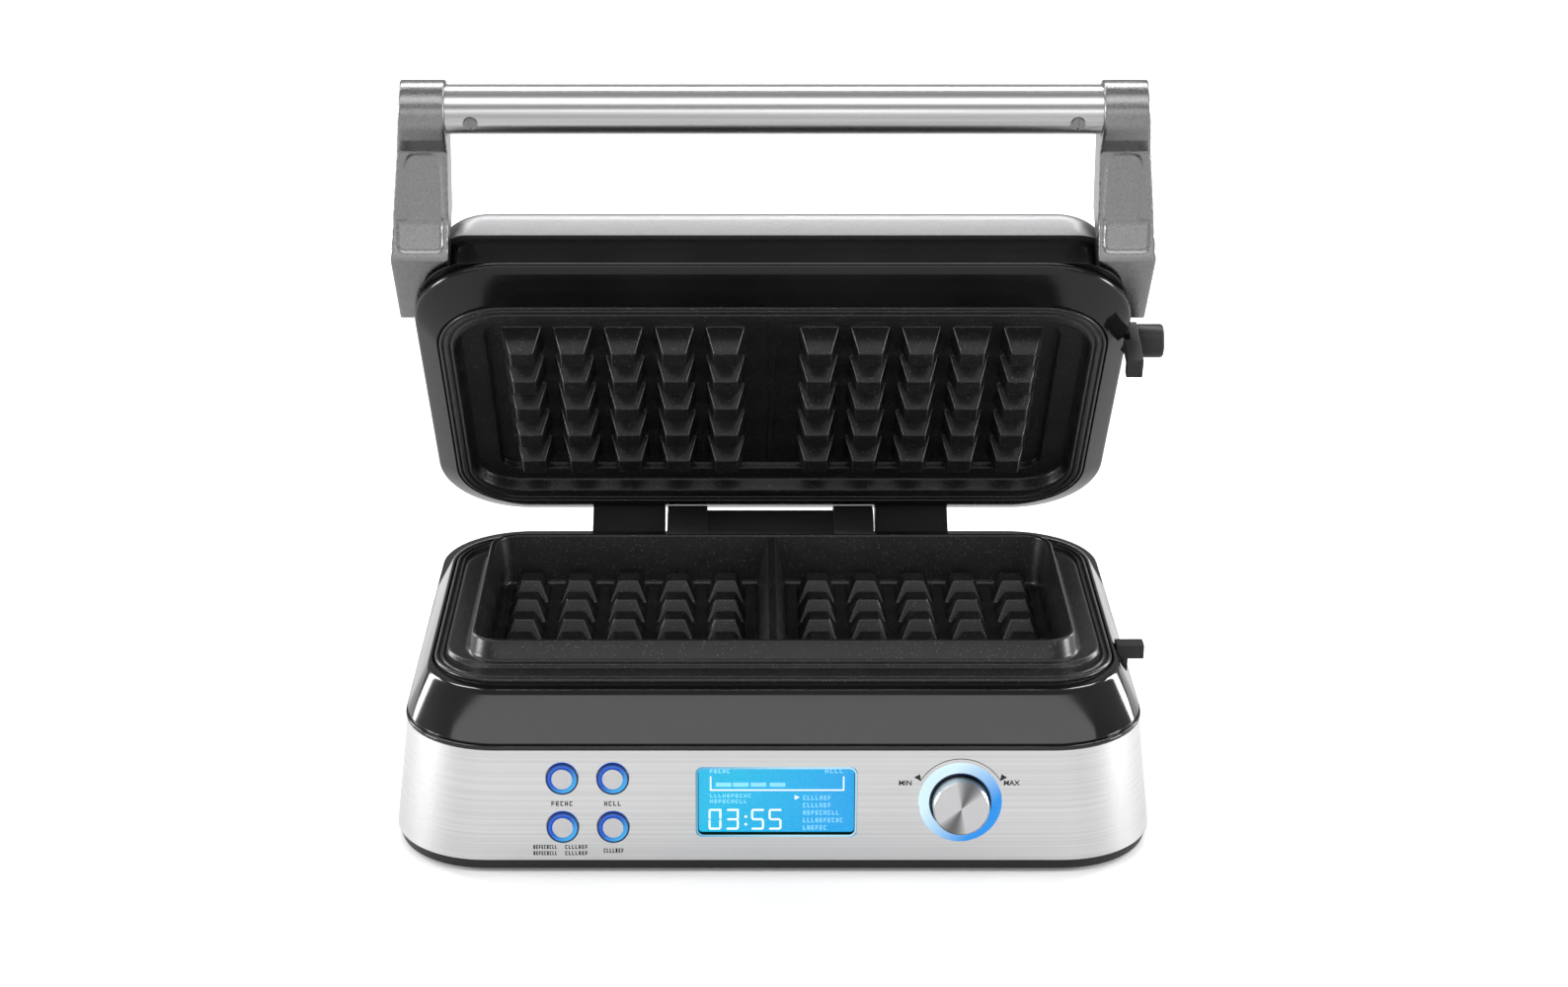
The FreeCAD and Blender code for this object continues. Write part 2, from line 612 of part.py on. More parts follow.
def cover_solid(inset, z0):
    """Crowned lid cover, offset inwards by an inset."""
    front, back = shell_front - 3.0 + inset, shell_back + 3.0 - inset
    side = (shell_hw + 2.0 - inset, front, back, shell_corner - inset, z0)
    edge = (side[0] - 2.0, side[1] + 1.5, side[2] - 1.5, side[3] + 4.0, lid_top - 5.0 - inset * 0.7)
    brow = (side[0] - 6.0, side[1] + 5.0, side[2] - 5.0, side[3] + 4.0, lid_top - 1.6 - inset)
    crown = (side[0] - 18.0, side[1] + 16.0, side[2] - 16.0, side[3] + 2.0, lid_top - inset)
    return taper(side, edge).fuse(taper(edge, brow)).fuse(taper(brow, crown))


cover = cover_solid(0.0, cover_z + run)
cover = cover.cut(cover_solid(1.5, cover_z + 1.5))
cover = cover.cut(slab(shell_hw - 6, shell_front + 6, shell_back - 6, 10.0, cover_z - 1, cover_z + 3))
save_lid("lid_cover", cover)

# hinge arms: a block behind the lid, a web through the bezel and a knuckle on the pin
for name, side in (("left_hinge_arm", -1), ("right_hinge_arm", 1)):
    a, b = sorted((side * arm_inner, side * arm_outer))
    arm = rod(a, hinge_y, hinge_z, knuckle_radius, b - a, V(1, 0, 0))
    arm = arm.fuse(box(a, b, arm_front, arm_back, hinge_z, cover_z - 1.5))
    arm = arm.fuse(box(a, b, shell_back + slip, arm_back, shell_z + 0.6, cover_z - 1.5))
    arm = arm.cut(rod(a - 5, hinge_y, hinge_z, hinge_pin_radius + run, 50, V(1, 0, 0)))
    for x, z in arm_screw_spots:
        arm = arm.cut(rod(x, shell_back, z, 2.0 + run, 10.5, V(0, 1, 0)))
    save_lid(name, arm)
save_lid(
    "hinge_arm_screws",
    *[
        rod(x, shell_back - shell_wall - 2.1, z, 4.0, 2.0, V(0, 1, 0)).fuse(
            rod(x, shell_back - shell_wall - 0.2, z, 2.0, 12.0, V(0, 1, 0))
        )
        for x, z in arm_screw_spots
    ],
)

# handle: two cast arms with a bar between them
bar_y = lid_front - 50.0
bar_z = lid_top + 3.5
arm_z = shell_z + 1.5
profile = [
    (lid_front + 42.0, arm_z),
    (lid_front + 1.7, arm_z),
    (lid_front - 9.8, arm_z + 11.5),
    (lid_front - 35.0, arm_z + 26.0),
    (lid_front - 45.0, bar_z - 11.4),
    (bar_y, bar_z - 11.4),
    (bar_y, bar_z + 11.4),
    (lid_front - 34.0, bar_z + 11.4),
    (lid_front - 8.0, arm_z + 37.0),
    (lid_front + 12.0, arm_z + 29.0),
    (lid_front + 42.0, arm_z + 27.0),
]
arm_x0 = lid_hw - 18.8
arm_x1 = lid_hw + 6.5
grip = prism_x(profile, arm_x0, arm_x1)
grip = grip.fuse(rod(arm_x0, bar_y, bar_z, 11.4, arm_x1 - arm_x0, V(1, 0, 0)))


def cut_wedge(shape, corners, z0, z1):
    wire = Part.makePolygon([V(x, y, z0) for x, y in corners + corners[:1]])
    return shape.cut(Part.Face(wire).extrude(V(0, 0, z1 - z0)))


grip = cut_wedge(
    grip,
    [
        (arm_x1, lid_front + 1.7),
        (lid_hw - 0.2, bar_y),
        (lid_hw - 2.0, bar_y - 20),
        (arm_x1 + 9, bar_y - 20),
        (arm_x1 + 9, lid_front + 1.7),
    ],
    arm_z - 9,
    bar_z + 30,
)
grip = cut_wedge(
    grip,
    [
        (arm_x0 + 2.4, lid_front + 60),
        (arm_x0 + 2.4, lid_front + 5),
        (arm_x0, bar_y + 2),
        (arm_x0 - 3, bar_y + 2),
        (arm_x0 - 3, lid_front + 60),
    ],
    arm_z - 9,
    bar_z + 30,
)
body_gap = slab(shell_hw + slip, shell_front - slip, shell_back + slip, shell_corner, shell_z - 5, cover_z + 40)
cover_edge = (shell_hw + 2.0 + slip, shell_front - 3.0 - slip, shell_back + 3.1, shell_corner)
cover_gap = slab(*cover_edge, cover_z - 0.4, cover_z + 60)
grip = grip.cut(body_gap.fuse(cover_gap))
# sunk panel over the two front facets, each with rounded outer corners
facets = (
    (profile[1], profile[2], 3.0, 0.0, lid_hw - 14.6, lid_hw + 3.4, 2.5),
    (profile[2], profile[3], 0.0, 1.0, lid_hw - 15.4, lid_hw - 0.8, 5.0),
)
for low, high, trim0, trim1, x0, x1, corner in facets:
    start, end = V(0, *low), V(0, *high)
    along = (end - start).normalize()
    out = V(0, -along.z, along.y)
    p0 = start + along * trim0
    p1 = end - along * trim1
    ring = [p0 + out * 3, p1 + out * 3, p1 - out * 0.9, p0 - out * 0.9]
    sunk = prism_x([(p.y, p.z) for p in ring], x0, x1)
    reach = 20.0
    mask = slab(
        (x1 - x0) / 2,
        p1.y if trim1 else p1.y - reach,
        p0.y if trim0 else p0.y + reach,
        corner,
        arm_z - 20,
        bar_z + 20,
    )
    mask.translate(V((x0 + x1) / 2, 0, 0))
    grip = grip.cut(sunk.common(mask))
grip = grip.cut(rod(arm_x0 - 5, bar_y, bar_z, bar_radius + slip, 13.2, V(1, 0, 0)))
for z in grip_screw_spots[1]:
    grip = grip.cut(rod(shell_hw - 12, grip_screw_spots[0], z, 2.0 + run, 24.0, V(1, 0, 0)))
save_lid("right_handle_arm", grip)
save_lid("left_handle_arm", mirrored(grip))

bar_hl = arm_x0 + 8.0
bar = rod(-bar_hl, bar_y, bar_z, bar_radius, 2 * bar_hl, V(1, 0, 0))
bar = bar.cut(rod(-bar_hl - 1, bar_y, bar_z, bar_radius - 1.6, 2 * bar_hl + 2, V(1, 0, 0)))
down = V(0, math.cos(math.radians(254)), math.sin(math.radians(254)))
bar_screws = []
for side in (-1, 1):
    centre = V(side * (arm_x0 - 9.7), bar_y, bar_z)
    bar = bar.cut(Part.makeCylinder(1.6, 8, centre + down * 6, down))
    bar = bar.cut(Part.makeCylinder(2.9, 4, centre + down * (bar_radius - 0.7), down))
    head = Part.makeCylinder(2.7, 1.1, centre + down * (bar_radius - 0.6), down)
    stem = Part.makeCylinder(1.5, 5.0, centre + down * (bar_radius - 5.5), down)
    slot = Part.makeBox(1.0, 5.0, 5.0, V(-0.5, -2.5, bar_radius), V(0, 0, 1))
    slot.Placement = FreeCAD.Placement(centre, FreeCAD.Rotation(V(0, 0, 1), down)).multiply(slot.Placement)
    bar_screws.append(head.fuse(stem).cut(slot))
save_lid("handle_bar", bar)
save_lid("handle_bar_screws", *bar_screws)

grip_screws = []
for side in (-1, 1):
    for z in grip_screw_spots[1]:
        head = rod(side * (shell_hw - shell_wall - 2.6), grip_screw_spots[0], z, 3.2, 2.0, V(side, 0, 0))
        stem = rod(side * (shell_hw - shell_wall - 0.7), grip_screw_spots[0], z, 2.0, 11.0, V(side, 0, 0))
        grip_screws.append(head.fuse(stem))
save_lid("handle_arm_screws", *grip_screws)

# ---------------------------------------------------------------- side latch
bracket = box(shell_hw + slip, lid_hw + 0.4, latch_y - 7, latch_y + 7, shell_z + slip, latch_z + 6)
bracket = bracket.cut(rod(shell_hw, latch_y, latch_z, 3.0 + run / 2, 30, V(1, 0, 0)))
save_lid("latch_bracket", bracket)
save_lid("latch_pin", rod(shell_hw + 1, latch_y, latch_z, 3.0, lid_hw + 6.0 - shell_hw - 1, V(1, 0, 0)))

blade_x = lid_hw + 0.8
stem_back = latch_y - 5.3
toe_top = top_z - 7.0
lever = rod(blade_x, latch_y, latch_z, 6.5, 4.0, V(1, 0, 0))
lever = lever.fuse(box(blade_x, blade_x + 4.0, latch_y - 9.5, stem_back, toe_top - 4.5, latch_z))
lever = lever.fuse(box(blade_x, blade_x + 4.0, latch_y - 6.4, latch_y + 3, latch_z - 9, latch_z))
lever = lever.fuse(box(lid_hw - 1.9, blade_x + 4.0, latch_y - 9.5, stem_back, toe_top - 4.5, latch_z - 13))
lever = lever.fuse(box(lid_hw - 1.9, blade_x + 4.0, latch_y - 9.5, latch_y - 1.0, toe_top - 4.5, toe_top))
lever = lever.cut(rod(blade_x - 5, latch_y, latch_z, 3.0 + run, 12, V(1, 0, 0)))
latch_knob = rod(blade_x + 4.1, latch_y, latch_z, 7.0, 11.5, V(1, 0, 0))
latch_knob = latch_knob.cut(rod(blade_x + 3.0, latch_y, latch_z, 4.5, 3.5, V(1, 0, 0)))
latch_axis = V(0, latch_y, latch_z)
for name, shape in (("latch_lever", lever), ("latch_knob", latch_knob)):
    swung = shape.copy()
    swung.rotate(latch_axis, V(1, 0, 0), -latch_swing)
    save_lid(name, swung)
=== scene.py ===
# %% [markdown]
# # A two-square waffle maker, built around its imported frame
# The engineering parts arrive as a fixed frame: every plate, arm, screw and knob is already in its
# place and at its size. This script gives them their looks. Where a moulded or cast part needs
# rounder edges than its plain frame solid, a finer piece is made here and stands in for it.
# Everything is in metres, +Z up, with the front of the machine towards -Y.

# %% Load the frame
import json
import math

import bmesh
import bpy
from mathutils import Matrix, Vector


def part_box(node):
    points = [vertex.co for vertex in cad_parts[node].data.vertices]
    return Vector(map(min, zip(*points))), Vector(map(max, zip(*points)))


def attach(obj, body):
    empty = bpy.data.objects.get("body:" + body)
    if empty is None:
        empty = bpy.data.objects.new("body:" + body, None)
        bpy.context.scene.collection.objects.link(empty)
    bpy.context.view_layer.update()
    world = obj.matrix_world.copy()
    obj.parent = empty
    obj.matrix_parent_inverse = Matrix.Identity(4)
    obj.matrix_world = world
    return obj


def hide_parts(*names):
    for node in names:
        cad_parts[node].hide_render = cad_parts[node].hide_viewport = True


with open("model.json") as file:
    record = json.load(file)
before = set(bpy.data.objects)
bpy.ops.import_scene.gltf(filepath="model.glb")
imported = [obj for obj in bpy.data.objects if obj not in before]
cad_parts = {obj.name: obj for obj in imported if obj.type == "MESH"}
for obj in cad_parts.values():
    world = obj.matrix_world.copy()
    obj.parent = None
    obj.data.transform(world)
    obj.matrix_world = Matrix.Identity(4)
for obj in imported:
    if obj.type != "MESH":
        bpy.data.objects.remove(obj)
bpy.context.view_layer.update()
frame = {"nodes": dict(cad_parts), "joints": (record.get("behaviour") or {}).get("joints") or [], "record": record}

mm = 0.001
nodes = frame["nodes"]
joints = {j["name"]: j for j in frame["joints"]}
print("nodes in the frame:", len(nodes))

# %% [markdown]
# ## Places that everything hangs on
# The lid is drawn flat and closed, because a plate, a rim and a cover are easiest to describe
# level, and is then turned open about the hinge. The sloping front panel has its own small
# frame too: X to the right, Y up the panel and Z straight out of it. Both come from the joints.

# %% Hinge and panel frames
hinge_point = Vector(joints["lid_hinge"]["pos_m"])
open_angle = math.radians(52.04)
lid_turn = (
    Matrix.Translation(hinge_point)
    @ Matrix.Rotation(-open_angle, 4, "X")
    @ Matrix.Translation(-hinge_point)
)

panel_out = Vector(joints["knob_turn"]["axis"]).normalized()
panel_up = panel_out.cross(Vector((1, 0, 0)))
dial_centre = Vector(joints["knob_turn"]["pos_m"])
panel_origin = Vector((0, dial_centre.y, dial_centre.z))
panel_frame = Matrix(
    (
        (1, 0, 0, panel_origin.x),
        (0, panel_up.y, panel_out.y, panel_origin.y),
        (0, panel_up.z, panel_out.z, panel_origin.z),
        (0, 0, 0, 1),
    )
)
print("panel leans back by", round(math.degrees(math.asin(panel_out.z)), 2), "degrees")


def closed_box(node):
    """Lowest and highest corner of a lid node with the lid shut."""
    back = lid_turn.inverted()
    points = [back @ v.co for v in nodes[node].data.vertices]
    low = Vector([min(p[i] for p in points) for i in range(3)])
    high = Vector([max(p[i] for p in points) for i in range(3)])
    return low, high


def panel_spot(node):
    """Centre of a node on the front panel, as (x, up) in the panel's own frame."""
    low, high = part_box(node)
    spot = panel_frame.inverted() @ ((low + high) / 2)
    return spot.x, spot.y


# %% [markdown]
# ## Ways of making a shape
# Almost every shell of this machine is a rounded rectangle that changes as it rises, so one
# helper skins a stack of such outlines, and another rounds the bends between them first. Knobs
# and rings are turned on a lathe. Printed marks are thin flat plates. Notches are cut with blocks.

# %% Outlines
def outline(section, steps=12, middle=0.0):
    """Points round a rounded rectangle given as (half width, front y, back y, radius, z)."""
    hw, y0, y1, radius, z = section
    centres = (
        (hw - radius, y0 + radius, -90),
        (hw - radius, y1 - radius, 0),
        (-hw + radius, y1 - radius, 90),
        (-hw + radius, y0 + radius, 180),
    )
    points = []
    for cx, cy, start in centres:
        for i in range(steps + 1):
            a = math.radians(start + 90 * i / steps)
            points.append(Vector((middle + cx + radius * math.cos(a), cy + radius * math.sin(a), z)))
    return points


def soften(sections, width, loop=False, steps=4):
    """Rounds every bend of a stack of sections. A 6th value, unless None, is that bend's own width."""
    rows = [tuple(s[:5]) for s in sections]
    widths = [width if len(s) < 6 or s[5] is None else s[5] for s in sections]
    count = len(rows)
    result = []
    for i, here in enumerate(rows):
        if not loop and i in (0, count - 1):
            result.append(here)
            continue
        before, after = rows[i - 1], rows[(i + 1) % count]
        ends = []
        for other in (before, after):
            gap = max(math.hypot(other[k] - here[k], other[4] - here[4]) for k in (0, 1, 2))
            share = min(widths[i] / gap, 0.48) if gap > 0 else 0
            ends.append([h + (o - h) * share for h, o in zip(here, other)])
        for j in range(steps + 1):
            t = j / steps
            a, b, c = (1 - t) ** 2, 2 * t * (1 - t), t * t
            result.append(tuple(a * p + b * h + c * q for p, h, q in zip(ends[0], here, ends[1])))
    return result


print("outline of a test section has", len(outline((2, -1, 1, 0.5, 0))), "points")

# %% Skins
crisp_angle = 35
same_point = 1e-7


def finish_mesh(name, mesh_data, sharp=crisp_angle):
    """Turns bmesh data into an object with smooth faces and crisp true corners."""
    bmesh.ops.remove_doubles(mesh_data, verts=mesh_data.verts, dist=same_point)
    bmesh.ops.recalc_face_normals(mesh_data, faces=mesh_data.faces)
    mesh = bpy.data.meshes.new(name)
    mesh_data.to_mesh(mesh)
    mesh_data.free()
    mesh.shade_smooth()
    mesh.set_sharp_from_angle(angle=math.radians(sharp))
    piece = bpy.data.objects.new(name, mesh)
    bpy.context.scene.collection.objects.link(piece)
    return piece


def add_rings(mesh_data, rings, loop=False, cap=True):
    """Joins rings of points, all of one length, with faces."""
    rows = [[mesh_data.verts.new(p) for p in ring] for ring in rings]
    pairs = list(zip(rows, rows[1:]))
    if loop:
        pairs.append((rows[-1], rows[0]))
    n = len(rows[0])
    for low, high in pairs:
        for i in range(n):
            mesh_data.faces.new((low[i], low[(i + 1) % n], high[(i + 1) % n], high[i]))
    if cap and not loop:
        mesh_data.faces.new(rows[0][::-1])
        mesh_data.faces.new(rows[-1])


def shell(name, sections, width=1.0 * mm, loop=False, steps=4, corner_steps=12):
    """A moulded shell: a softened stack of sections, closed to a loop or capped at both ends."""
    data = bmesh.new()
    stack = soften(sections, width, loop, steps)
    add_rings(data, [outline(s, corner_steps) for s in stack], loop)
    return finish_mesh(name, data)


print("corners sharper than", crisp_angle, "degrees stay crisp")

# %% Lathe and thin plates
def turned(name, profile, steps=64, place=Matrix.Identity(4)):
    """A turned piece from (radius, height) points. Radius 0 at an end closes it."""
    data = bmesh.new()
    rows = []
    for radius, height in profile:
        if radius == 0:
            rows.append([data.verts.new((0, 0, height))])
            continue
        row = []
        for i in range(steps):
            a = 2 * math.pi * i / steps
            row.append(data.verts.new((radius * math.cos(a), radius * math.sin(a), height)))
        rows.append(row)
    pairs = list(zip(rows, rows[1:]))
    if profile[0][0] != 0:
        pairs.append((rows[-1], rows[0]))
    for low, high in pairs:
        for i in range(steps):
            j = (i + 1) % steps
            if len(low) == 1:
                data.faces.new((low[0], high[j], high[i]))
            elif len(high) == 1:
                data.faces.new((low[i], low[j], high[0]))
            else:
                data.faces.new((low[i], low[j], high[j], high[i]))
    piece = finish_mesh(name, data)
    piece.data.transform(place)
    return piece


def add_plate(data, corners, layer):
    """Adds a thin plate with the given (x, up) corners, between two heights off the panel."""
    add_rings(data, [[Vector((x, up, z)) for x, up in corners] for z in layer])


def add_bar(data, x0, x1, up0, up1, radius, layer, steps):
    """Adds a thin bar with rounded corners, between two heights off the panel."""
    rings = []
    for z in layer:
        rings.append(outline(((x1 - x0) / 2, up0, up1, radius, z), steps, (x0 + x1) / 2))
    add_rings(data, rings)


print("lathe and plate helpers are ready")


# %% Carving
def carve(piece, cutters):
    """Cuts other pieces out of one, and removes the cutters."""
    for cutter in cutters:
        cut = piece.modifiers.new("cut", "BOOLEAN")
        cut.operation = "DIFFERENCE"
        cut.solver = "EXACT"
        cut.object = cutter
    bpy.context.view_layer.update()
    shape = piece.evaluated_get(bpy.context.evaluated_depsgraph_get())
    mesh = bpy.data.meshes.new_from_object(shape)
    piece.modifiers.clear()
    piece.data = mesh
    mesh.set_sharp_from_angle(angle=math.radians(crisp_angle))
    for cutter in cutters:
        bpy.data.objects.remove(cutter)


def block(x0, x1, y0, y1, z0, z1, name="cutter"):
    """A plain block, mostly used as a cutter."""
    data = bmesh.new()
    corners = ((x0, y0), (x1, y0), (x1, y1), (x0, y1))
    add_rings(data, [[Vector((x, y, z)) for x, y in corners] for z in (z0, z1)])
    return finish_mesh(name, data)


print("carving helpers are ready")


# %% Softening the edges of frame parts
def soft_edges(node, width):
    """Rounds the sharp edges of a frame part that keeps its own shape."""
    part = nodes[node]
    weld = part.modifiers.new("weld", "WELD")
    weld.merge_threshold = 1e-6
    flat = part.modifiers.new("flat", "DECIMATE")
    flat.decimate_type = "DISSOLVE"
    flat.angle_limit = math.radians(1)
    bevel = part.modifiers.new("bevel", "BEVEL")
    bevel.width = width
    bevel.segments = 3
    bevel.limit_method = "ANGLE"
    bevel.angle_limit = math.radians(30)
    bevel.harden_normals = True


def melt_edges(node, cell, rounds):
    """Gives a casting its soft edges: a fine even skin is laid over it, then relaxed."""
    part = nodes[node]
    skin = part.modifiers.new("skin", "REMESH")
    skin.mode = "VOXEL"
    skin.voxel_size = cell
    skin.use_smooth_shade = True
    relax = part.modifiers.new("relax", "SMOOTH")
    relax.factor = 0.5
    relax.iterations = rounds


print("softening helpers are ready")

# %% [markdown]
# ## Surface effects that several finishes share
# Real surfaces are never one flat value. Brushed steel has thousands of fine parallel scratches,
# non-stick coating has pale flecks, and cast metal and moulded plastic have a sandy skin. Each
# effect could be painted as a picture, but noise in three dimensions wraps round any shape without
# a seam. Each is a node group that puts out only masks and a height, so a material can use it in
# its own strength.

# %% Sums in a node tree
def feed(tree, socket, value):
    """Sets a socket to a constant, or links another socket to it."""
    if isinstance(value, bpy.types.NodeSocket):
        tree.links.new(value, socket)
    else:
        socket.default_value = value


def math_node(tree, operation, *values):
    """One sum on numbers. Each value is a number or a socket."""
    node = tree.nodes.new("ShaderNodeMath")
    node.operation = operation
    for socket, value in zip(node.inputs, values):
        feed(tree, socket, value)
    return node.outputs[0]


def vector_node(tree, operation, *values):
    """One sum on vectors. Each value is a vector or a socket."""
    node = tree.nodes.new("ShaderNodeVectorMath")
    node.operation = operation
    for socket, value in zip(node.inputs, values):
        feed(tree, socket, value)
    return node.outputs["Value" if operation in ("DOT_PRODUCT", "LENGTH") else "Vector"]


print("sum helpers are ready")


# %% Ranges, places and noise
def range_node(tree, source, low, high, to_low=0.0, to_high=1.0):
    """Maps a value from one range to another, clamped."""
    node = tree.nodes.new("ShaderNodeMapRange")
    values = (low, high, to_low, to_high)
    for label, value in zip(("From Min", "From Max", "To Min", "To Max"), values):
        node.inputs[label].default_value = value
    tree.links.new(source, node.inputs["Value"])
    return node.outputs["Result"]


def object_place(tree):
    """Where each point of the surface is."""
    return tree.nodes.new("ShaderNodeTexCoord").outputs["Object"]


def noise_node(tree, place, scale, detail, roughness):
    """Noise over three dimensions."""
    node = tree.nodes.new("ShaderNodeTexNoise")
    for label, value in (("Vector", place), ("Scale", scale), ("Detail", detail), ("Roughness", roughness)):
        feed(tree, node.inputs[label], value)
    return node.outputs[0]


print("range, place and noise helpers are ready")


# %% Group helpers
def start_group(name, inputs, outputs):
    """A shader node group with float inputs {name: default} and float outputs."""
    group = bpy.data.node_groups.new(name, "ShaderNodeTree")
    for label, value in inputs.items():
        socket = group.interface.new_socket(label, in_out="INPUT", socket_type="NodeSocketFloat")
        socket.default_value = value
    for label in outputs:
        group.interface.new_socket(label, in_out="OUTPUT", socket_type="NodeSocketFloat")
    return group, group.nodes.new("NodeGroupInput")


def end_group(group, **sources):
    """Links the results to the group's outputs, and gives the group back."""
    end = group.nodes.new("NodeGroupOutput")
    for label, source in sources.items():
        group.links.new(source, end.inputs[label])
    return group


groups = {}
print("group helpers are ready")


# %% Brushing
def make_brushing():
    """Fine parallel scratches. The rates set how fast they change in each direction."""
    rates = {"X Rate": 8.0, "Y Rate": 8.0, "Z Rate": 1500.0}
    group, start = start_group("brushing", rates, ("Streak", "Height"))
    rate = group.nodes.new("ShaderNodeCombineXYZ")
    for socket, label in zip(rate.inputs, rates):
        group.links.new(start.outputs[label], socket)
    stretched = vector_node(group, "MULTIPLY", object_place(group), rate.outputs[0])
    fine = noise_node(group, stretched, 1.0, 4.0, 0.65)
    broad = noise_node(group, stretched, 0.45, 3.0, 0.6)
    both = math_node(group, "MULTIPLY_ADD", broad, 0.6, math_node(group, "MULTIPLY", fine, 0.4))
    return end_group(group, Streak=range_node(group, both, 0.35, 0.65), Height=fine)


groups["brushing"] = make_brushing()
print("made the brushing group")


# %% Fleck
def make_fleck():
    """Sparse pale specks over a softly mottled coat."""
    settings = {"Size": 900.0, "Amount": 0.35}
    group, start = start_group("fleck", settings, ("Speck", "Mottle", "Height"))
    place = object_place(group)
    grains = group.nodes.new("ShaderNodeTexVoronoi")
    group.links.new(start.outputs["Size"], grains.inputs["Scale"])
    group.links.new(place, grains.inputs["Vector"])
    tone = group.nodes.new("ShaderNodeSeparateColor")
    group.links.new(grains.outputs["Color"], tone.inputs[0])
    rare = range_node(group, tone.outputs["Red"], 0.55, 1.0)
    limit = math_node(group, "MULTIPLY", rare, start.outputs["Amount"])
    speck = math_node(group, "LESS_THAN", grains.outputs["Distance"], limit)
    mottle = range_node(group, noise_node(group, place, 60.0, 4.0, 0.6), 0.35, 0.65)
    return end_group(group, Speck=speck, Mottle=mottle, Height=noise_node(group, place, 1400.0, 3.0, 0.6))


groups["fleck"] = make_fleck()
print("made the fleck group")


# %% Grit
def make_grit():
    """The sandy skin of cast or moulded parts, with a slow change of tone."""
    group, start = start_group("grit", {"Size": 1200.0}, ("Tone", "Height"))
    place = object_place(group)
    grain = noise_node(group, place, start.outputs["Size"], 3.0, 0.7)
    slow = noise_node(group, place, 25.0, 3.0, 0.5)
    return end_group(group, Tone=range_node(group, slow, 0.3, 0.7), Height=grain)


groups["grit"] = make_grit()
print("shared effects:", sorted(groups))

# %% [markdown]
# ## Finishes
# Each finish is one material around a Principled shader. Whatever is the same all over is set on
# the shader's own sockets. The groups then vary the colour and roughness a little and feed a
# Bump node, which is what makes metal look worked and coating look sprayed.

# %% A finish and its effects
materials = {}


def finish(name, colour, roughness, metallic=0.0, **sockets):
    """A material with one Principled shader, and its node tree."""
    material = bpy.data.materials.new(name)
    material.use_nodes = True
    tree = material.node_tree
    shader = tree.nodes["Principled BSDF"]
    shader.inputs["Base Color"].default_value = (*colour, 1)
    shader.inputs["Roughness"].default_value = roughness
    shader.inputs["Metallic"].default_value = metallic
    for label, value in sockets.items():
        shader.inputs[label.replace("_", " ")].default_value = value
    material.diffuse_color = (*colour, 1)
    materials[name] = material
    return tree, shader


def place_group(tree, name, **values):
    """Places a shared effect in a material, with its own values."""
    node = tree.nodes.new("ShaderNodeGroup")
    node.node_tree = groups[name]
    for label, value in values.items():
        node.inputs[label.replace("_", " ")].default_value = value
    return node

print("a finish starts as one Principled shader")


# %% Varying a finish
def blend(tree, mask, first, second):
    """A colour that runs from the first to the second with a mask. The first may be a socket."""
    mix = tree.nodes.new("ShaderNodeMix")
    mix.data_type = "RGBA"
    feed(tree, mix.inputs["A"], (*first, 1) if isinstance(first, tuple) else first)
    mix.inputs["B"].default_value = (*second, 1)
    tree.links.new(mask, mix.inputs["Factor"])
    return mix.outputs["Result"]


def vary_colour(tree, shader, mask, dark, light):
    """Base colour runs from dark to light with a mask."""
    tree.links.new(blend(tree, mask, dark, light), shader.inputs["Base Color"])


def vary_roughness(tree, shader, mask, low, high):
    """Roughness runs from low to high with a mask."""
    tree.links.new(range_node(tree, mask, 0.0, 1.0, low, high), shader.inputs["Roughness"])


def add_bump(tree, shader, height, strength, distance):
    """Tilts the surface with a height, so that light breaks on it."""
    bump = tree.nodes.new("ShaderNodeBump")
    bump.inputs["Strength"].default_value = strength
    bump.inputs["Distance"].default_value = distance
    tree.links.new(height, bump.inputs["Height"])
    tree.links.new(bump.outputs["Normal"], shader.inputs["Normal"])


print("finishes can vary in colour, roughness and height")

# %% [markdown]
# ### Metals
# The band round the base is rolled stainless sheet, brushed level, and the handle bar is brushed
# along its length. The arms are die-cast alloy and the lid cover is sheet, both with a fine satin
# skin. The faces of the dial and the keys are spun, so their scratches run in circles, and such a
# face shows two bright fans that meet in the middle. An anisotropic shader can do that, but it
# needs a tangent on the mesh. Here the sheen is painted instead: the base colour is darkened in
# two lobes by angle, a painted sheen that keeps the fans steady.

# %% Brushed and blasted metals
def brushed_metal(name, dark, light, rough, rates, bump=0.12):
    """Metal with parallel scratches. A low rate in one direction draws them out along it."""
    tree, shader = finish(name, light, rough[0], 1.0)
    lines = place_group(tree, "brushing", X_Rate=rates[0], Y_Rate=rates[1], Z_Rate=rates[2])
    vary_colour(tree, shader, lines.outputs["Streak"], dark, light)
    vary_roughness(tree, shader, lines.outputs["Streak"], rough[1], rough[0])
    add_bump(tree, shader, lines.outputs["Height"], bump, 0.05 * mm)


def blasted(name, dark, light, rough, bump):
    """Metal with an even satin grain."""
    tree, shader = finish(name, light, rough[0], 1.0)
    skin = place_group(tree, "grit", Size=1500.0)
    vary_colour(tree, shader, skin.outputs["Height"], dark, light)
    vary_roughness(tree, shader, skin.outputs["Height"], rough[0], rough[1])
    add_bump(tree, shader, skin.outputs["Height"], bump, 0.12 * mm)
brushed_metal("band_steel", (0.62, 0.62, 0.625), (0.77, 0.77, 0.775), (0.30, 0.42), (3, 3, 2200))
brushed_metal("bar_steel", (0.44, 0.44, 0.445), (0.66, 0.66, 0.665), (0.20, 0.30), (5, 900, 900), 0.04)
brushed_metal("screw_steel", (0.5, 0.5, 0.5), (0.68, 0.68, 0.68), (0.2, 0.3), (400, 400, 400), 0.03)
brushed_metal("sheet_alloy", (0.6, 0.6, 0.61), (0.75, 0.75, 0.76), (0.35, 0.45), (30, 300, 30))
brushed_metal("heater_sheath", (0.2, 0.18, 0.17), (0.36, 0.34, 0.32), (0.4, 0.55), (60, 300, 300))
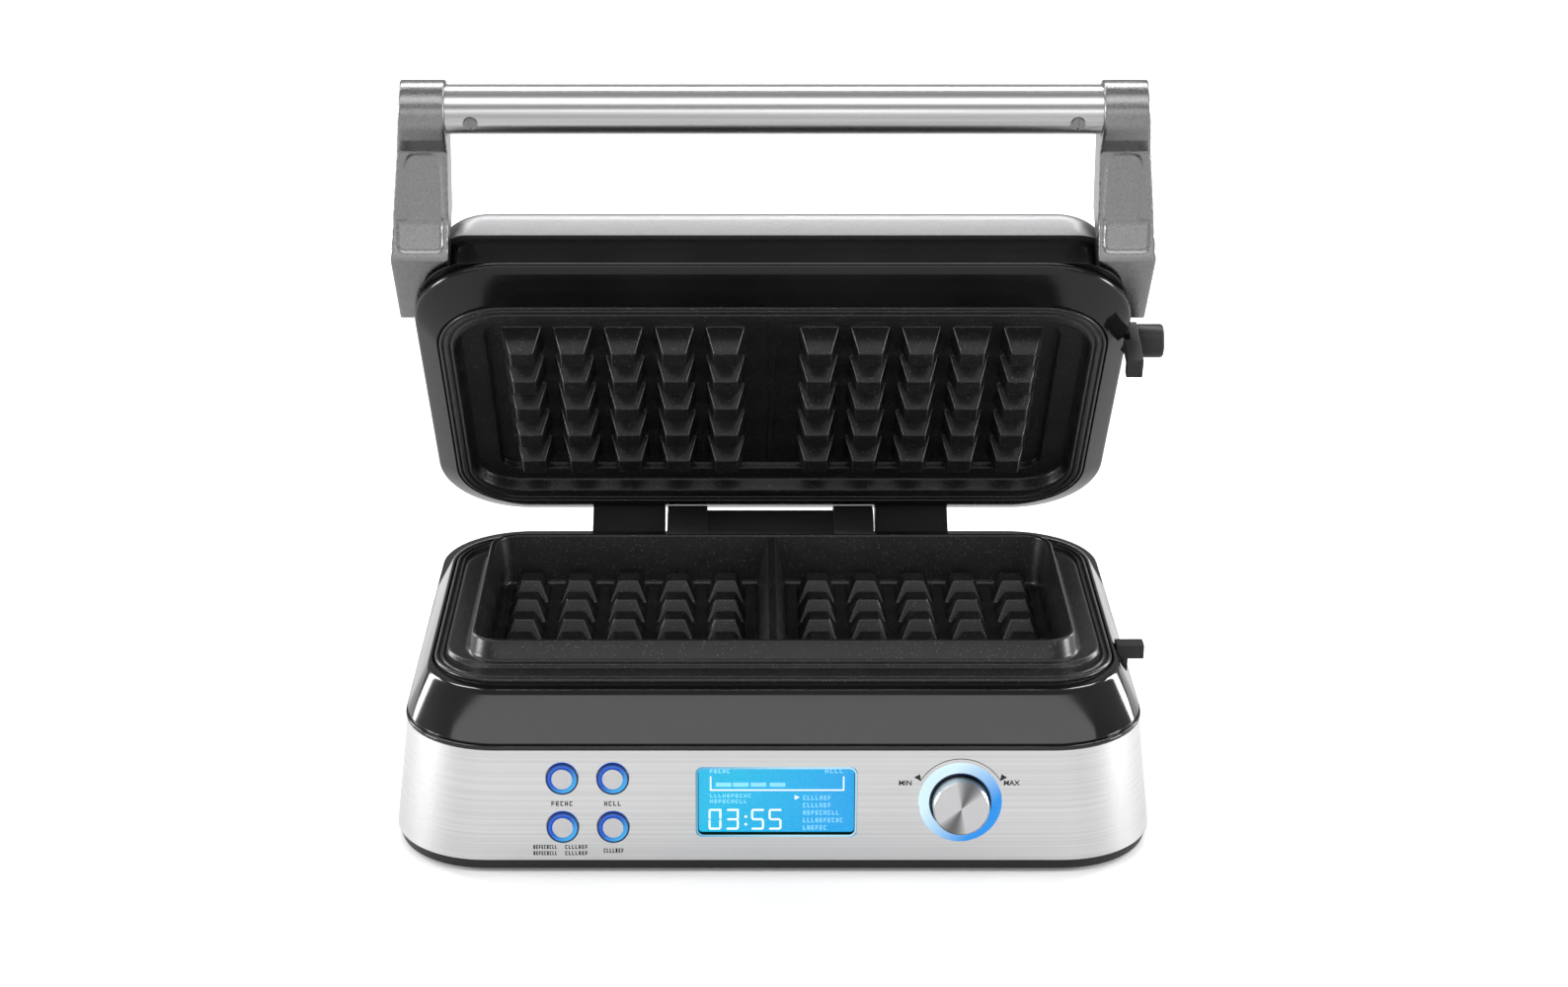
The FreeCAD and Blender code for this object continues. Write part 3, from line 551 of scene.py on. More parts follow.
brushed_metal("brass", (0.55, 0.42, 0.18), (0.75, 0.6, 0.3), (0.25, 0.35), (200, 200, 200))
blasted("cast_alloy", (0.16, 0.16, 0.162), (0.36, 0.36, 0.363), (0.20, 0.38), 0.6)
blasted("cover_steel", (0.22, 0.22, 0.223), (0.38, 0.38, 0.385), (0.38, 0.52), 0.3)
print("metals:", sorted(materials))


# %% Spun metal
def spun_alloy(name, centre, dark, light, painted_sheen_shade, turn, narrow):
    """Metal spun about a spot on the panel, with painted sheen: two dark lobes leaning by an angle in degrees."""
    tree, shader = finish(name, light, 0.3, 1.0)
    offset = vector_node(tree, "SUBTRACT", object_place(tree), panel_frame @ Vector((*centre, 0)))
    right = vector_node(tree, "DOT_PRODUCT", offset, Vector((1, 0, 0)))
    up = vector_node(tree, "DOT_PRODUCT", offset, panel_up)
    flat = tree.nodes.new("ShaderNodeCombineXYZ")
    tree.links.new(right, flat.inputs[0])
    tree.links.new(up, flat.inputs[1])
    circles = tree.nodes.new("ShaderNodeTexNoise")
    circles.noise_dimensions = "1D"
    away = vector_node(tree, "LENGTH", flat.outputs[0])
    for label, value in (("W", away), ("Scale", 9000.0), ("Detail", 3.0), ("Roughness", 0.7)):
        feed(tree, circles.inputs[label], value)
    scratches = circles.outputs[0]
    # Painted sheen: the colour darkens towards a painted shade in two lobes round the centre, standing in for the
    # bright fans of spun metal.
    angle = math_node(tree, "SUBTRACT", math_node(tree, "ARCTAN2", up, right), math.radians(turn))
    painted_sheen_lobes = math_node(tree, "COSINE", math_node(tree, "MULTIPLY", angle, 2.0))
    face = blend(tree, scratches, dark, light)
    face = blend(tree, range_node(tree, painted_sheen_lobes, narrow, 1.0), face, painted_sheen_shade)
    tree.links.new(face, shader.inputs["Base Color"])
    vary_roughness(tree, shader, scratches, 0.24, 0.38)
    add_bump(tree, shader, scratches, 0.1, 0.04 * mm)


keys = ("power", "menu", "texture", "restart")
dial_spot = panel_spot("browning_knob")
# The third tone of each is the painted shade of the sheen's two dark lobes.
dial_tones_with_painted_sheen = ((0.52, 0.52, 0.53), (0.76, 0.76, 0.77), (0.16, 0.16, 0.165))
key_tones_with_painted_sheen = ((0.80, 0.80, 0.81), (0.93, 0.93, 0.94), (0.22, 0.22, 0.225))
spun_alloy("spun_alloy", dial_spot, *dial_tones_with_painted_sheen, 68.0, 0.35)
for key in keys:
    button = key + "_button"
    spun_alloy(button + "_alloy", panel_spot(button), *key_tones_with_painted_sheen, 45.0, 0.80)
print("spun faces:", 1 + len(keys))

# %% [markdown]
# ### Plastics and coating
# Two blacks tell the housing's story: a deep gloss on the collar and lid, where a smooth surface
# gives sharp reflections, and a quiet matt on the tray, hinge and latch. The cooking plates carry
# a charcoal non-stick coating, which is rougher and dotted with tiny pale flecks.

# %% Plastic, rubber and board finishes
def gloss_black(name, specular):
    """Polished black plastic with faint wiping marks."""
    tree, shader = finish(name, (0.004, 0.004, 0.0045), 0.12, 0.0, Specular_IOR_Level=specular)
    wipe = place_group(tree, "grit", Size=500.0).outputs["Tone"]
    vary_roughness(tree, shader, wipe, 0.08, 0.15)
    vary_colour(tree, shader, wipe, (0.003, 0.003, 0.0034), (0.006, 0.006, 0.0066))
    add_bump(tree, shader, wipe, 0.02, 0.1 * mm)


def grained(name, dark, light, rough, bump, size):
    """Moulded plastic, rubber or ink with a fine grain."""
    tree, shader = finish(name, light, rough[0], 0.0, Specular_IOR_Level=0.4)
    skin = place_group(tree, "grit", Size=size)
    vary_colour(tree, shader, skin.outputs["Tone"], dark, light)
    vary_roughness(tree, shader, skin.outputs["Height"], rough[0], rough[1])
    add_bump(tree, shader, skin.outputs["Height"], bump, 0.1 * mm)


gloss_black("gloss_black", 0.5)
gloss_black("gloss_lid", 0.34)
grained("matt_black", (0.008, 0.008, 0.0085), (0.014, 0.014, 0.015), (0.38, 0.55), 0.25, 1500.0)
grained("rubber", (0.012, 0.012, 0.012), (0.02, 0.02, 0.02), (0.7, 0.85), 0.3, 900.0)
grained("board_green", (0.01, 0.12, 0.05), (0.02, 0.2, 0.08), (0.35, 0.5), 0.1, 700.0)
grained("component", (0.02, 0.02, 0.022), (0.05, 0.05, 0.052), (0.4, 0.55), 0.15, 900.0)
grained("terminal_white", (0.7, 0.7, 0.66), (0.82, 0.82, 0.78), (0.35, 0.5), 0.1, 900.0)
grained("navy_rim", (0.004, 0.012, 0.05), (0.006, 0.02, 0.08), (0.3, 0.4), 0.05, 900.0)
grained("panel_ink", (0.012, 0.012, 0.012), (0.02, 0.02, 0.02), (0.5, 0.6), 0.05, 900.0)
print("finishes so far:", len(materials))


# %% Non-stick coating
def coating():
    """Charcoal coating: a mottled base with pale specks, and a roughness that follows its grain."""
    tree, shader = finish("coating", (0.012, 0.012, 0.0125), 0.3, 0.0, Specular_IOR_Level=0.38)
    fleck = place_group(tree, "fleck", Size=1500.0, Amount=0.30).outputs
    base = blend(tree, fleck["Mottle"], (0.0105, 0.0105, 0.011), (0.0135, 0.0135, 0.014))
    speckled = blend(tree, fleck["Speck"], base, (0.14, 0.14, 0.142))
    tree.links.new(speckled, shader.inputs["Base Color"])
    vary_roughness(tree, shader, fleck["Height"], 0.24, 0.34)
    add_bump(tree, shader, fleck["Height"], 0.35, 0.1 * mm)


coating()
print("made the coating")

# %% [markdown]
# ### Lit parts and glass
# The rings round the buttons and the dial are clear diffusers lit blue from behind, and the
# display has a blue backlight with pale figures. They glow by emission. The dial's ring is palest
# where its lamp sits, at the upper left, and turns to a deep blue on the far side.

# %% Lit finishes
def lit(name, centre, near, far, strength, slant, spread):
    """A glow that runs from one colour to another along a slant across the panel."""
    tree, shader = finish(name, (0.01, 0.04, 0.08), 0.25, 0.0, Emission_Strength=strength)
    direction = panel_frame.to_3x3() @ Vector((*slant, 0))
    start = direction.dot(panel_frame @ Vector((*centre, 0)))
    along = vector_node(tree, "DOT_PRODUCT", object_place(tree), direction)
    share = range_node(tree, along, start + spread[0], start + spread[1])
    tree.links.new(blend(tree, share, near, far), shader.inputs["Emission Color"])
    frost = place_group(tree, "grit", Size=2000.0)
    vary_roughness(tree, shader, frost.outputs["Height"], 0.2, 0.35)


across_dial = (-10 * mm, 11 * mm)
across_key = (-1 * mm, 6 * mm)
across_screen = (-20 * mm, 24 * mm)
lit("dial_glow", dial_spot, (0.72, 0.92, 0.94), (0.0, 0.26, 0.80), 0.95, (0.8, -0.6), across_dial)
for key in keys:
    button = key + "_button"
    blues = ((0.0, 0.07, 0.55), (0.06, 0.45, 0.85))
    lit(button + "_glow", panel_spot(button), *blues, 0.9, (0.7, -0.7), across_key)
screen_spot = panel_spot("display_window")
for name, near, far, strength, slant in (
    ("display_glow", (0.0, 0.50, 0.80), (0.0, 0.37, 0.82), 0.95, (1, -0.5)),
    # The glass edge's colours are a painted highlight, dim at the upper left and bright at the lower right.
    ("display_edge_painted_highlight", (0.05, 0.35, 0.6), (0.50, 0.82, 0.95), 0.9, (1, -1)),
    ("display_figures", (0.86, 0.98, 0.90), (0.8, 0.93, 0.90), 1.15, (1, 0)),
    ("display_faint", (0.26, 0.72, 0.94), (0.22, 0.60, 0.92), 1.1, (1, 0)),
):
    lit(name, screen_spot, near, far, strength, slant, across_screen)
print("lit finishes are made")

# %% Display glass
glass_tree, glass_shader = finish("clear_window", (1, 1, 1), 0.03, 0.0, Transmission_Weight=1.0, IOR=1.12)
smear = place_group(glass_tree, "grit", Size=300.0)
vary_roughness(glass_tree, glass_shader, smear.outputs["Tone"], 0.01, 0.05)
print("finishes:", len(materials))

# %% [markdown]
# ## Dressing a piece
# Every new piece gets the same care: one finish, the body that it moves with and the frame parts
# that it stands in for. One helper does all of it, so that no piece is left half done.

# %% Dress a piece
def dress(piece, material, body=None, stands_for=()):
    """Gives a piece its material, its body and the frame parts it stands for."""
    piece.data.materials.clear()
    piece.data.materials.append(materials[material])
    if body:
        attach(piece, body)
    if stands_for:
        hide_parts(*stands_for)
    print("made", piece.name, "with", len(piece.data.polygons), "faces")


# %% [markdown]
# ## Frame parts that keep their own shape
# The steel band, the tray, the hinge and most of the inside already have the right form. They
# only get their finish, and the ones that show get softly rounded edges, because a perfectly
# sharp edge never catches the light as a real one does. Three parts wear another finish than the
# one their slot would give.

# %% Finishes for the frame parts
finish_for_slot = {
    "black_moulding": "matt_black",
    "black_gloss": "gloss_black",
    "rubber": "rubber",
    "brushed_steel": "band_steel",
    "satin_alloy": "cast_alloy",
    "brushed_alloy": "spun_alloy",
    "bright_metal": "screw_steel",
    "cooking_coating": "coating",
    "heater_metal": "heater_sheath",
    "sheet_alloy": "sheet_alloy",
    "circuit_board": "board_green",
    "component_body": "component",
    "terminal_white": "terminal_white",
    "brass_metal": "brass",
    "blue_light": "dial_glow",
    "display_glass": "clear_window",
    "display_blue": "display_glow",
}


def paint(node, finish_name):
    """Gives a frame part one finish all over."""
    for place in nodes[node].material_slots:
        place.material = materials[finish_name]


for entry in frame["record"]["subparts"]:
    paint(entry["node"], finish_for_slot[entry["material_slot"]])
paint("handle_bar", "bar_steel")
paint("handle_bar_screws", "cast_alloy")
paint("hinge_housing", "matt_black")

# %% Edges of the frame parts that show
edge_widths = {
    "left_hinge_arm": 1.2,
    "right_hinge_arm": 1.2,
    "hinge_housing": 0.6,
    "latch_catch": 0.7,
    "latch_lever": 0.8,
    "latch_knob": 1.2,
    "latch_bracket": 0.8,
    "base_tray": 0.5,
}
for node, width in edge_widths.items():
    soft_edges(node, width * mm)
for node in ("left_handle_arm", "right_handle_arm"):
    melt_edges(node, 0.6 * mm, 7)
print("softened", len(edge_widths) + 2, "frame parts")

# %% [markdown]
# ## The gloss collar
# The collar is one black moulding: a thin bead that sits on the steel, a sloping shoulder, a soft
# roll at the top and a seat for the cooking plate. A bevelled box could come near it, but skinning
# it as a closed loop of outlines gives every one of those edges its own radius. A notch at the
# back makes room for the hinge.

# %% Sizes of the base
collar_low, collar_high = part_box("base_collar")
plate_low, plate_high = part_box("lower_plate")
housing_low, housing_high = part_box("hinge_housing")
top_z = collar_high.z
band_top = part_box("steel_band")[1].z
half_w = collar_high.x
front = collar_low.y
back = collar_high.y
deck_back = hinge_point.y + 6.7 * mm
body_corner = 38 * mm
plate_y = (plate_low.y + plate_high.y) / 2
plate_hw = plate_high.x
plate_hd = (plate_high.y - plate_low.y) / 2
print("base half width", round(half_w / mm, 1), "mm, plate half width", round(plate_hw / mm, 1), "mm")


# %% Outlines of the collar
def around(hw, hd, radius, z, width=None):
    """A section centred on the cooking plates."""
    return hw, plate_y - hd, plate_y + hd, radius, z, width


def ring_at(inset, z, width=None):
    """Outline of the collar's foot, moved in by an inset."""
    return half_w - inset, front + inset, back - inset, body_corner - inset, z, width


def shoulder_at(share, grow, z, width=None):
    """Outline part-way up the sloping shoulder, from 0 at its foot to 1 at its top."""
    foot = (half_w - 0.5 * mm, front + 0.9 * mm, deck_back, body_corner)
    top = around(plate_hw + 2.0 * mm, plate_hd + 7.2 * mm, 30 * mm, top_z)
    hw, y0, y1, radius = [a + (b - a) * share for a, b in zip(foot, top)]
    return hw + grow, y0 - grow, y1 + grow, radius + grow, z, width


print("collar foot is", round(2 * ring_at(0, 0)[0] / mm, 1), "mm wide")

# %% Collar
plate_seat = (plate_hw + 0.5 * mm, plate_hd + 0.6 * mm, 27.5 * mm)
collar = shell(
    "collar_moulding",
    [
        ring_at(3.5 * mm, band_top + 0.1 * mm),
        ring_at(0.0, band_top + 0.05 * mm, 0.5 * mm),
        ring_at(0.0, band_top + 1.7 * mm, 0.6 * mm),
        ring_at(1.1 * mm, band_top + 1.9 * mm, 0.2 * mm),
        shoulder_at(0.0, -0.5 * mm, band_top + 2.0 * mm, 0.2 * mm),
        shoulder_at(0.03, 0.2 * mm, band_top + 2.5 * mm, 0.3 * mm),
        shoulder_at(1.0, 0.0, top_z, 2.4 * mm),
        around(*plate_seat, top_z, 0.5 * mm),
        around(*plate_seat, top_z - 3 * mm, 0.1 * mm),
        shoulder_at(0.8, -3.0 * mm, top_z - 4.5 * mm, 0.2 * mm),
        shoulder_at(0.0, -3.6 * mm, band_top + 0.9 * mm, 0.1 * mm),
    ],
    0.5 * mm,
    loop=True,
    corner_steps=16,
)
notch_gap = 0.1 * mm
hinge_notch = block(
    housing_low.x - notch_gap,
    housing_high.x + notch_gap,
    housing_low.y - notch_gap,
    housing_high.y + notch_gap,
    housing_low.z,
    top_z + 9 * mm,
)
carve(collar, [hinge_notch])
dress(collar, "gloss_black", "base", ["base_collar"])

# %% [markdown]
# ## The lower cooking plate
# A cast pan: a beaded brim, a low moat, a raised wall round the two squares and a tapered divider
# between them. On the real part every inner corner has a casting radius, so the pan is one
# softened stack that runs from its underside, over the brim and the wall, down to the well floor.

# %% Lower pan
seat_z = top_z - 1.6 * mm
moat_z = top_z + 2.0 * mm
wall_top = moat_z + 8.0 * mm
well_z = top_z - 12.5 * mm
wall_hw = plate_hw - 16.2 * mm
wall_hd = plate_hd - 18.3 * mm
well_hw = wall_hw - 3.5 * mm
well_hd = wall_hd - 2.3 * mm


def brim_at(inset, rise, width=0.25 * mm):
    """Outline of the brim, moved in by an inset, at a height over the collar."""
    return around(plate_hw - inset, plate_hd - inset, 27 * mm - inset, top_z + rise, width)


pan = shell(
    "lower_pan",
    [
        around(wall_hw + 2.2 * mm, wall_hd + 2.9 * mm, 14 * mm, well_z - 3.0 * mm),
        around(wall_hw + 2.2 * mm, wall_hd + 2.9 * mm, 14 * mm, seat_z),
        brim_at(0.0, -1.6 * mm, 0.6 * mm),
        brim_at(0.0, 0.6 * mm, 0.5 * mm),
        brim_at(0.8 * mm, 1.25 * mm),
        brim_at(1.5 * mm, 1.25 * mm),
        brim_at(1.9 * mm, 0.6 * mm),
        brim_at(2.8 * mm, 0.6 * mm),
        brim_at(3.1 * mm, 1.25 * mm),
        brim_at(3.8 * mm, 1.25 * mm),
        brim_at(4.2 * mm, 0.5 * mm),
        around(plate_hw - 3.9 * mm, plate_hd - 11.9 * mm, 22 * mm, top_z + 0.5 * mm, 0.3 * mm),
        around(plate_hw - 4.9 * mm, plate_hd - 12.6 * mm, 22 * mm, moat_z, 0.8 * mm),
        around(wall_hw + 3.0 * mm, wall_hd + 3.4 * mm, 14 * mm, moat_z, 1.6 * mm),
        around(wall_hw + 1.0 * mm, wall_hd + 1.0 * mm, 12 * mm, wall_top, 0.8 * mm),
        around(wall_hw - 1.0 * mm, wall_hd - 1.0 * mm, 10 * mm, wall_top, 0.8 * mm),
        around(well_hw, well_hd, 8 * mm, well_z, 2.4 * mm),
        around(well_hw - 6 * mm, well_hd - 6 * mm, 5 * mm, well_z),
    ],
    0.5 * mm,
    corner_steps=14,
)
dress(pan, "coating", "base", ["lower_plate"])

# %% [markdown]
# ### Pegs and divider
# Fifty square pegs press the deep pockets into a waffle. Each is a small frustum with a flared
# root, soft corners and a rounded tip. They are all alike, so one loop places them on the grid.
# Separate copies of one peg would do as well, but a single mesh keeps the scene light.

# %% Peg grid
pockets = 5
divider_foot = 6.4 * mm
peg_share = 0.814
pitch_x = (well_hw - divider_foot) / (pockets + 0.225)
pitch_y = 2 * well_hd / (pockets + 0.16)
group_x = (well_hw + divider_foot) / 2 + 0.14 * mm
print("pocket pitch", round(pitch_x / mm, 2), "by", round(pitch_y / mm, 2), "mm")


def peg_level(y, size, grow, radius, z, width=None):
    """One level of a peg that stands at y. Size is its half width and half depth."""
    return size[0] + grow, y - size[1] - grow, y + size[1] + grow, radius, z, width


def peg_block(name, root_z, tip_z, tip_share):
    """Two square fields of pegs. Roots and tips are shares of the pocket pitch."""
    data = bmesh.new()
    rise = 1 if tip_z > root_z else -1
    middle = (pockets - 1) / 2
    root = (pitch_x * peg_share / 2, pitch_y * peg_share / 2)
    tip = [size * tip_share / peg_share for size in root]
    for side in (-1, 1):
        for i in range(pockets):
            for j in range(pockets):
                x = side * group_x + (i - middle) * pitch_x
                y = plate_y + (j - middle) * pitch_y
                stack = [
                    peg_level(y, root, 0.5 * mm, 1.6 * mm, root_z - rise * 0.2 * mm),
                    peg_level(y, root, -0.3 * mm, 1.2 * mm, root_z, 0.7 * mm),
                    peg_level(y, tip, 0.0, 1.0 * mm, tip_z, 0.7 * mm),
                    peg_level(y, tip, -2 * mm, 0.5 * mm, tip_z),
                ]
                rings = [outline(s, 3, x) for s in soften(stack, 0.9 * mm, steps=3)]
                add_rings(data, rings if rise > 0 else rings[::-1])
    return finish_mesh(name, data, 60)


# %% Lower pegs and divider
lower_pegs = peg_block("lower_pegs", well_z, well_z + 8.85 * mm, 0.41)
dress(lower_pegs, "coating", "base", ["lower_plate"])

ridge_hd = wall_hd - 1.1 * mm
divider = shell(
    "divider",
    [
        around(divider_foot + 1.5 * mm, ridge_hd, 0.6 * mm, well_z - 0.1 * mm),
        around(divider_foot, ridge_hd, 0.6 * mm, well_z + 0.3 * mm, 1.4 * mm),
        around(1.75 * mm, ridge_hd, 0.6 * mm, wall_top - 1.0 * mm, 0.9 * mm),
        around(0.5 * mm, ridge_hd, 0.3 * mm, wall_top - 1.0 * mm),
    ],
    0.5 * mm,
    corner_steps=3,
)
dress(divider, "coating", "base", ["lower_plate"])

# %% [markdown]
# ## The lid
# The lid is drawn shut and level, then each piece is turned open with the same matrix. It has a
# gloss bezel with a stepped lip, a straight body that flares softly onto the bezel, and a shallow
# crowned steel cover. The upper plate lies in the bezel with its pegs hanging down.

# %% Sizes of the upper plate
ring_z = top_z + 5.0 * mm
lid_face = top_z + 10.8 * mm
lid_floor = lid_face + 3.0 * mm
shell_z = top_z + 13.5 * mm
lid_plate_hw = plate_hw + 1.1 * mm
lid_plate_hd = plate_hd + 1.1 * mm
rib_hw = lid_plate_hw - 5.6 * mm
rib_hd = lid_plate_hd - 9.3 * mm


def ring_face(inset, lift, width=0.2 * mm):
    """Outline of the plate's rim, moved in by an inset and up by a lift."""
    return around(lid_plate_hw - inset, lid_plate_hd - inset, 28 * mm - inset, ring_z + lift, width)

print("lid plate half width", round(lid_plate_hw / mm, 1), "mm")

# %% Upper plate
upper_pan = shell(
    "upper_pan",
    [
        around(wall_hw + 2.0 * mm, wall_hd + 3.0 * mm, 12 * mm, lid_floor + 3.2 * mm),
        around(wall_hw + 2.0 * mm, wall_hd + 3.0 * mm, 12 * mm, shell_z - 0.2 * mm),
        around(rib_hw, rib_hd, 20 * mm, shell_z - 0.2 * mm, 0.3 * mm),
        around(rib_hw, rib_hd, 20 * mm, ring_z + 4.0 * mm, 0.3 * mm),
        ring_face(0.0, 4.0 * mm, 0.3 * mm),
        ring_face(0.0, 0.0, 0.9 * mm),
        ring_face(1.3 * mm, 0.0),
        ring_face(1.6 * mm, 0.5 * mm),
        ring_face(2.1 * mm, 0.5 * mm),
        ring_face(2.4 * mm, 0.0),
        ring_face(4.1 * mm, 0.0),
        ring_face(4.4 * mm, 0.5 * mm),
        ring_face(4.9 * mm, 0.5 * mm),
        ring_face(5.2 * mm, 0.0, 0.3 * mm),
        around(plate_hw - 4.9 * mm, plate_hd - 8.9 * mm, 21 * mm, ring_z, 0.9 * mm),
        around(plate_hw - 6.2 * mm, plate_hd - 10.2 * mm, 20 * mm, lid_face, 1.8 * mm),
        around(wall_hw - 1.0 * mm, wall_hd, 8 * mm, lid_face, 0.7 * mm),
        around(wall_hw - 1.6 * mm, wall_hd - 0.6 * mm, 7.5 * mm, lid_floor, 1.2 * mm),
        around(wall_hw - 8.0 * mm, wall_hd - 7.0 * mm, 4 * mm, lid_floor),
    ],
    0.4 * mm,
    corner_steps=14,
)
upper_pegs = peg_block("upper_pegs", lid_floor, lid_floor - 11.3 * mm, 0.46)
rib_length = wall_hd - 1 * mm
centre_rib = shell(
    "upper_centre_rib",
    [
        around(1.5 * mm, rib_length, 0.5 * mm, lid_floor + 0.1 * mm),
        around(1.2 * mm, rib_length, 0.5 * mm, lid_floor - 0.6 * mm, 0.3 * mm),
        around(0.5 * mm, rib_length - 1 * mm, 0.3 * mm, lid_floor - 0.3 * mm),
    ],
    0.3 * mm,
    corner_steps=2,
)
for piece in (upper_pan, upper_pegs, centre_rib):
    piece.matrix_world = lid_turn
    dress(piece, "coating", "lid", ["upper_plate"])

# %% [markdown]
# ### Bezel, body and cover
# The bezel and the body are black gloss mouldings and the cover is a crowned sheet. They could be
# one piece, but apart they can each have their own finish and a fine gap between them. The bezel
# and the body have notches for the two hinge arms, cut out with blocks.

# %% Sizes of the lid
bezel_low, bezel_high = closed_box("lid_bezel")
shell_low, shell_high = closed_box("lid_shell")
cover_low, cover_high = closed_box("lid_cover")
arm_low, arm_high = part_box("right_hinge_arm")
plate_hole = (lid_plate_hw + 0.3 * mm, lid_plate_hd + 0.3 * mm, 28.3 * mm)
rib_hole = (rib_hw + 0.3 * mm, rib_hd + 0.3 * mm, 20.3 * mm)
print("lid half width", round(bezel_high.x / mm, 1), "mm")


def lid_rim(inset, z, width=None):
    """Outline of the bezel, moved in by an inset."""
    hw, y0, y1 = bezel_high.x - inset, bezel_low.y + inset, bezel_high.y - inset
    return hw, y0, y1, body_corner - inset, z, width


def body_at(grow, z, width=None):
    """Outline of the lid's straight body, moved out by a growth."""
    hw, y0, y1 = shell_high.x + grow, shell_low.y - grow, shell_high.y + grow
    return hw, y0, y1, 14 * mm + grow, z, width


def cover_at(side_in, end_in, radius, z, width=None):
    """Outline of the cover, moved in from its sides and its ends."""
    return cover_high.x - side_in, cover_low.y + end_in, cover_high.y - end_in, radius, z, width


def arm_notches(y0, y1, z0, z1):
    """Cutters for the two hinge arms."""
    x0, x1 = arm_low.x - 0.4 * mm, arm_high.x + 0.4 * mm
    return [block(x0, x1, y0, y1, z0, z1), block(-x1, -x0, y0, y1, z0, z1)]


# %% Bezel
bezel = shell(
    "lid_bezel_moulding",
    [
        around(*plate_hole, ring_z + 4.2 * mm, 0.2 * mm),
        around(*plate_hole, ring_z + 0.6 * mm, 0.3 * mm),
        around(plate_hw + 2.0 * mm, plate_hd + 2.8 * mm, 29 * mm, ring_z + 0.5 * mm, 0.5 * mm),
        lid_rim(0.0, top_z + 10.0 * mm, 3.2 * mm),
        lid_rim(0.0, shell_z - 0.5 * mm, 0.9 * mm),
        lid_rim(1.2 * mm, shell_z, 0.5 * mm),
        around(*rib_hole, shell_z, 0.2 * mm),
        around(*rib_hole, ring_z + 4.2 * mm, 0.2 * mm),
    ],
    0.3 * mm,
    loop=True,
    corner_steps=18,
)
arm_front = hinge_point.y - 9.1 * mm
carve(bezel, arm_notches(arm_front, bezel_high.y + 5 * mm, ring_z - 5 * mm, shell_z + 5 * mm))
print("bezel has", len(bezel.data.polygons), "faces")

# %% Body
body = shell(
    "lid_body",
    [
        body_at(6.8 * mm, shell_z + 0.02 * mm, 0.1 * mm),
        body_at(6.6 * mm, shell_z + 0.3 * mm, 0.1 * mm),
        body_at(0.0, shell_z + 0.4 * mm, 9.0 * mm),
        body_at(0.0, shell_high.z, 0.4 * mm),
        body_at(-2.5 * mm, shell_high.z, 0.2 * mm),
        body_at(-2.5 * mm, shell_z + 0.02 * mm, 0.2 * mm),
    ],
    0.4 * mm,
    loop=True,
    steps=8,
    corner_steps=12,
)
body_back = shell_high.y + 0.05 * mm
carve(body, arm_notches(body_back, bezel_high.y + 9 * mm, shell_z - 1 * mm, shell_z + 9 * mm))
print("body has", len(body.data.polygons), "faces")

# %% Cover
cover = shell(
    "cover_sheet",
    [
        cover_at(3.0 * mm, 3.0 * mm, 11 * mm, cover_low.z + 0.02 * mm),
        cover_at(0.1 * mm, 0.1 * mm, 14 * mm, cover_low.z + 0.02 * mm, 0.4 * mm),
        cover_at(2.1 * mm, 1.6 * mm, 18 * mm, cover_high.z - 5.1 * mm, 3.5 * mm),
        cover_at(6.1 * mm, 5.1 * mm, 18 * mm, cover_high.z - 1.7 * mm, 3.0 * mm),
        cover_at(18.0 * mm, 16.0 * mm, 16 * mm, cover_high.z - 0.02 * mm, 6.0 * mm),
        cover_at(30.0 * mm, 28.0 * mm, 10 * mm, cover_high.z - 0.02 * mm),
    ],
    1.0 * mm,
    steps=6,
    corner_steps=14,
)
for piece, material, label, node in (
    (bezel, "gloss_lid", "black_gloss", "lid_bezel"),
    (body, "gloss_lid", "black_gloss", "lid_shell"),
    (cover, "cover_steel", "brushed_steel", "lid_cover"),
):
    piece.matrix_world = lid_turn
    dress(piece, material, "lid", [node])

# %% [markdown]
# ## Buttons and dial
# The four keys are small spun caps, each in a clear ring that glows blue. The dial is a larger
# spun knob in a pale blue ring. All are turned on a lathe in the panel's frame, so they sit
# square to the sloping steel. The caps and the dial ride their own bodies, so they can move.

# %% Places on the panel
def panel_depth(node):
    """How far a node reaches along the panel's outward direction, lowest and highest."""
    back = panel_frame.inverted()
    heights = [(back @ v.co).z for v in nodes[node].data.vertices]
    return min(heights), max(heights)


def on_panel(x, up, z=0.0):
    """The place of a point on the panel, turned to face outwards."""
    return panel_frame @ Matrix.Translation((x, up, z))


def edge_points(radius, top, steps):
    """Points of a turned profile, each given as (inset, drop) in mm from an outer edge."""
    return [(radius - inset * mm, top - drop * mm) for inset, drop in steps]


ring_back, ring_front = panel_depth("button_rings")
light_back, light_front = panel_depth("knob_light_ring")
print("button rings stand", round(ring_front / mm, 2), "mm off the panel's frame")

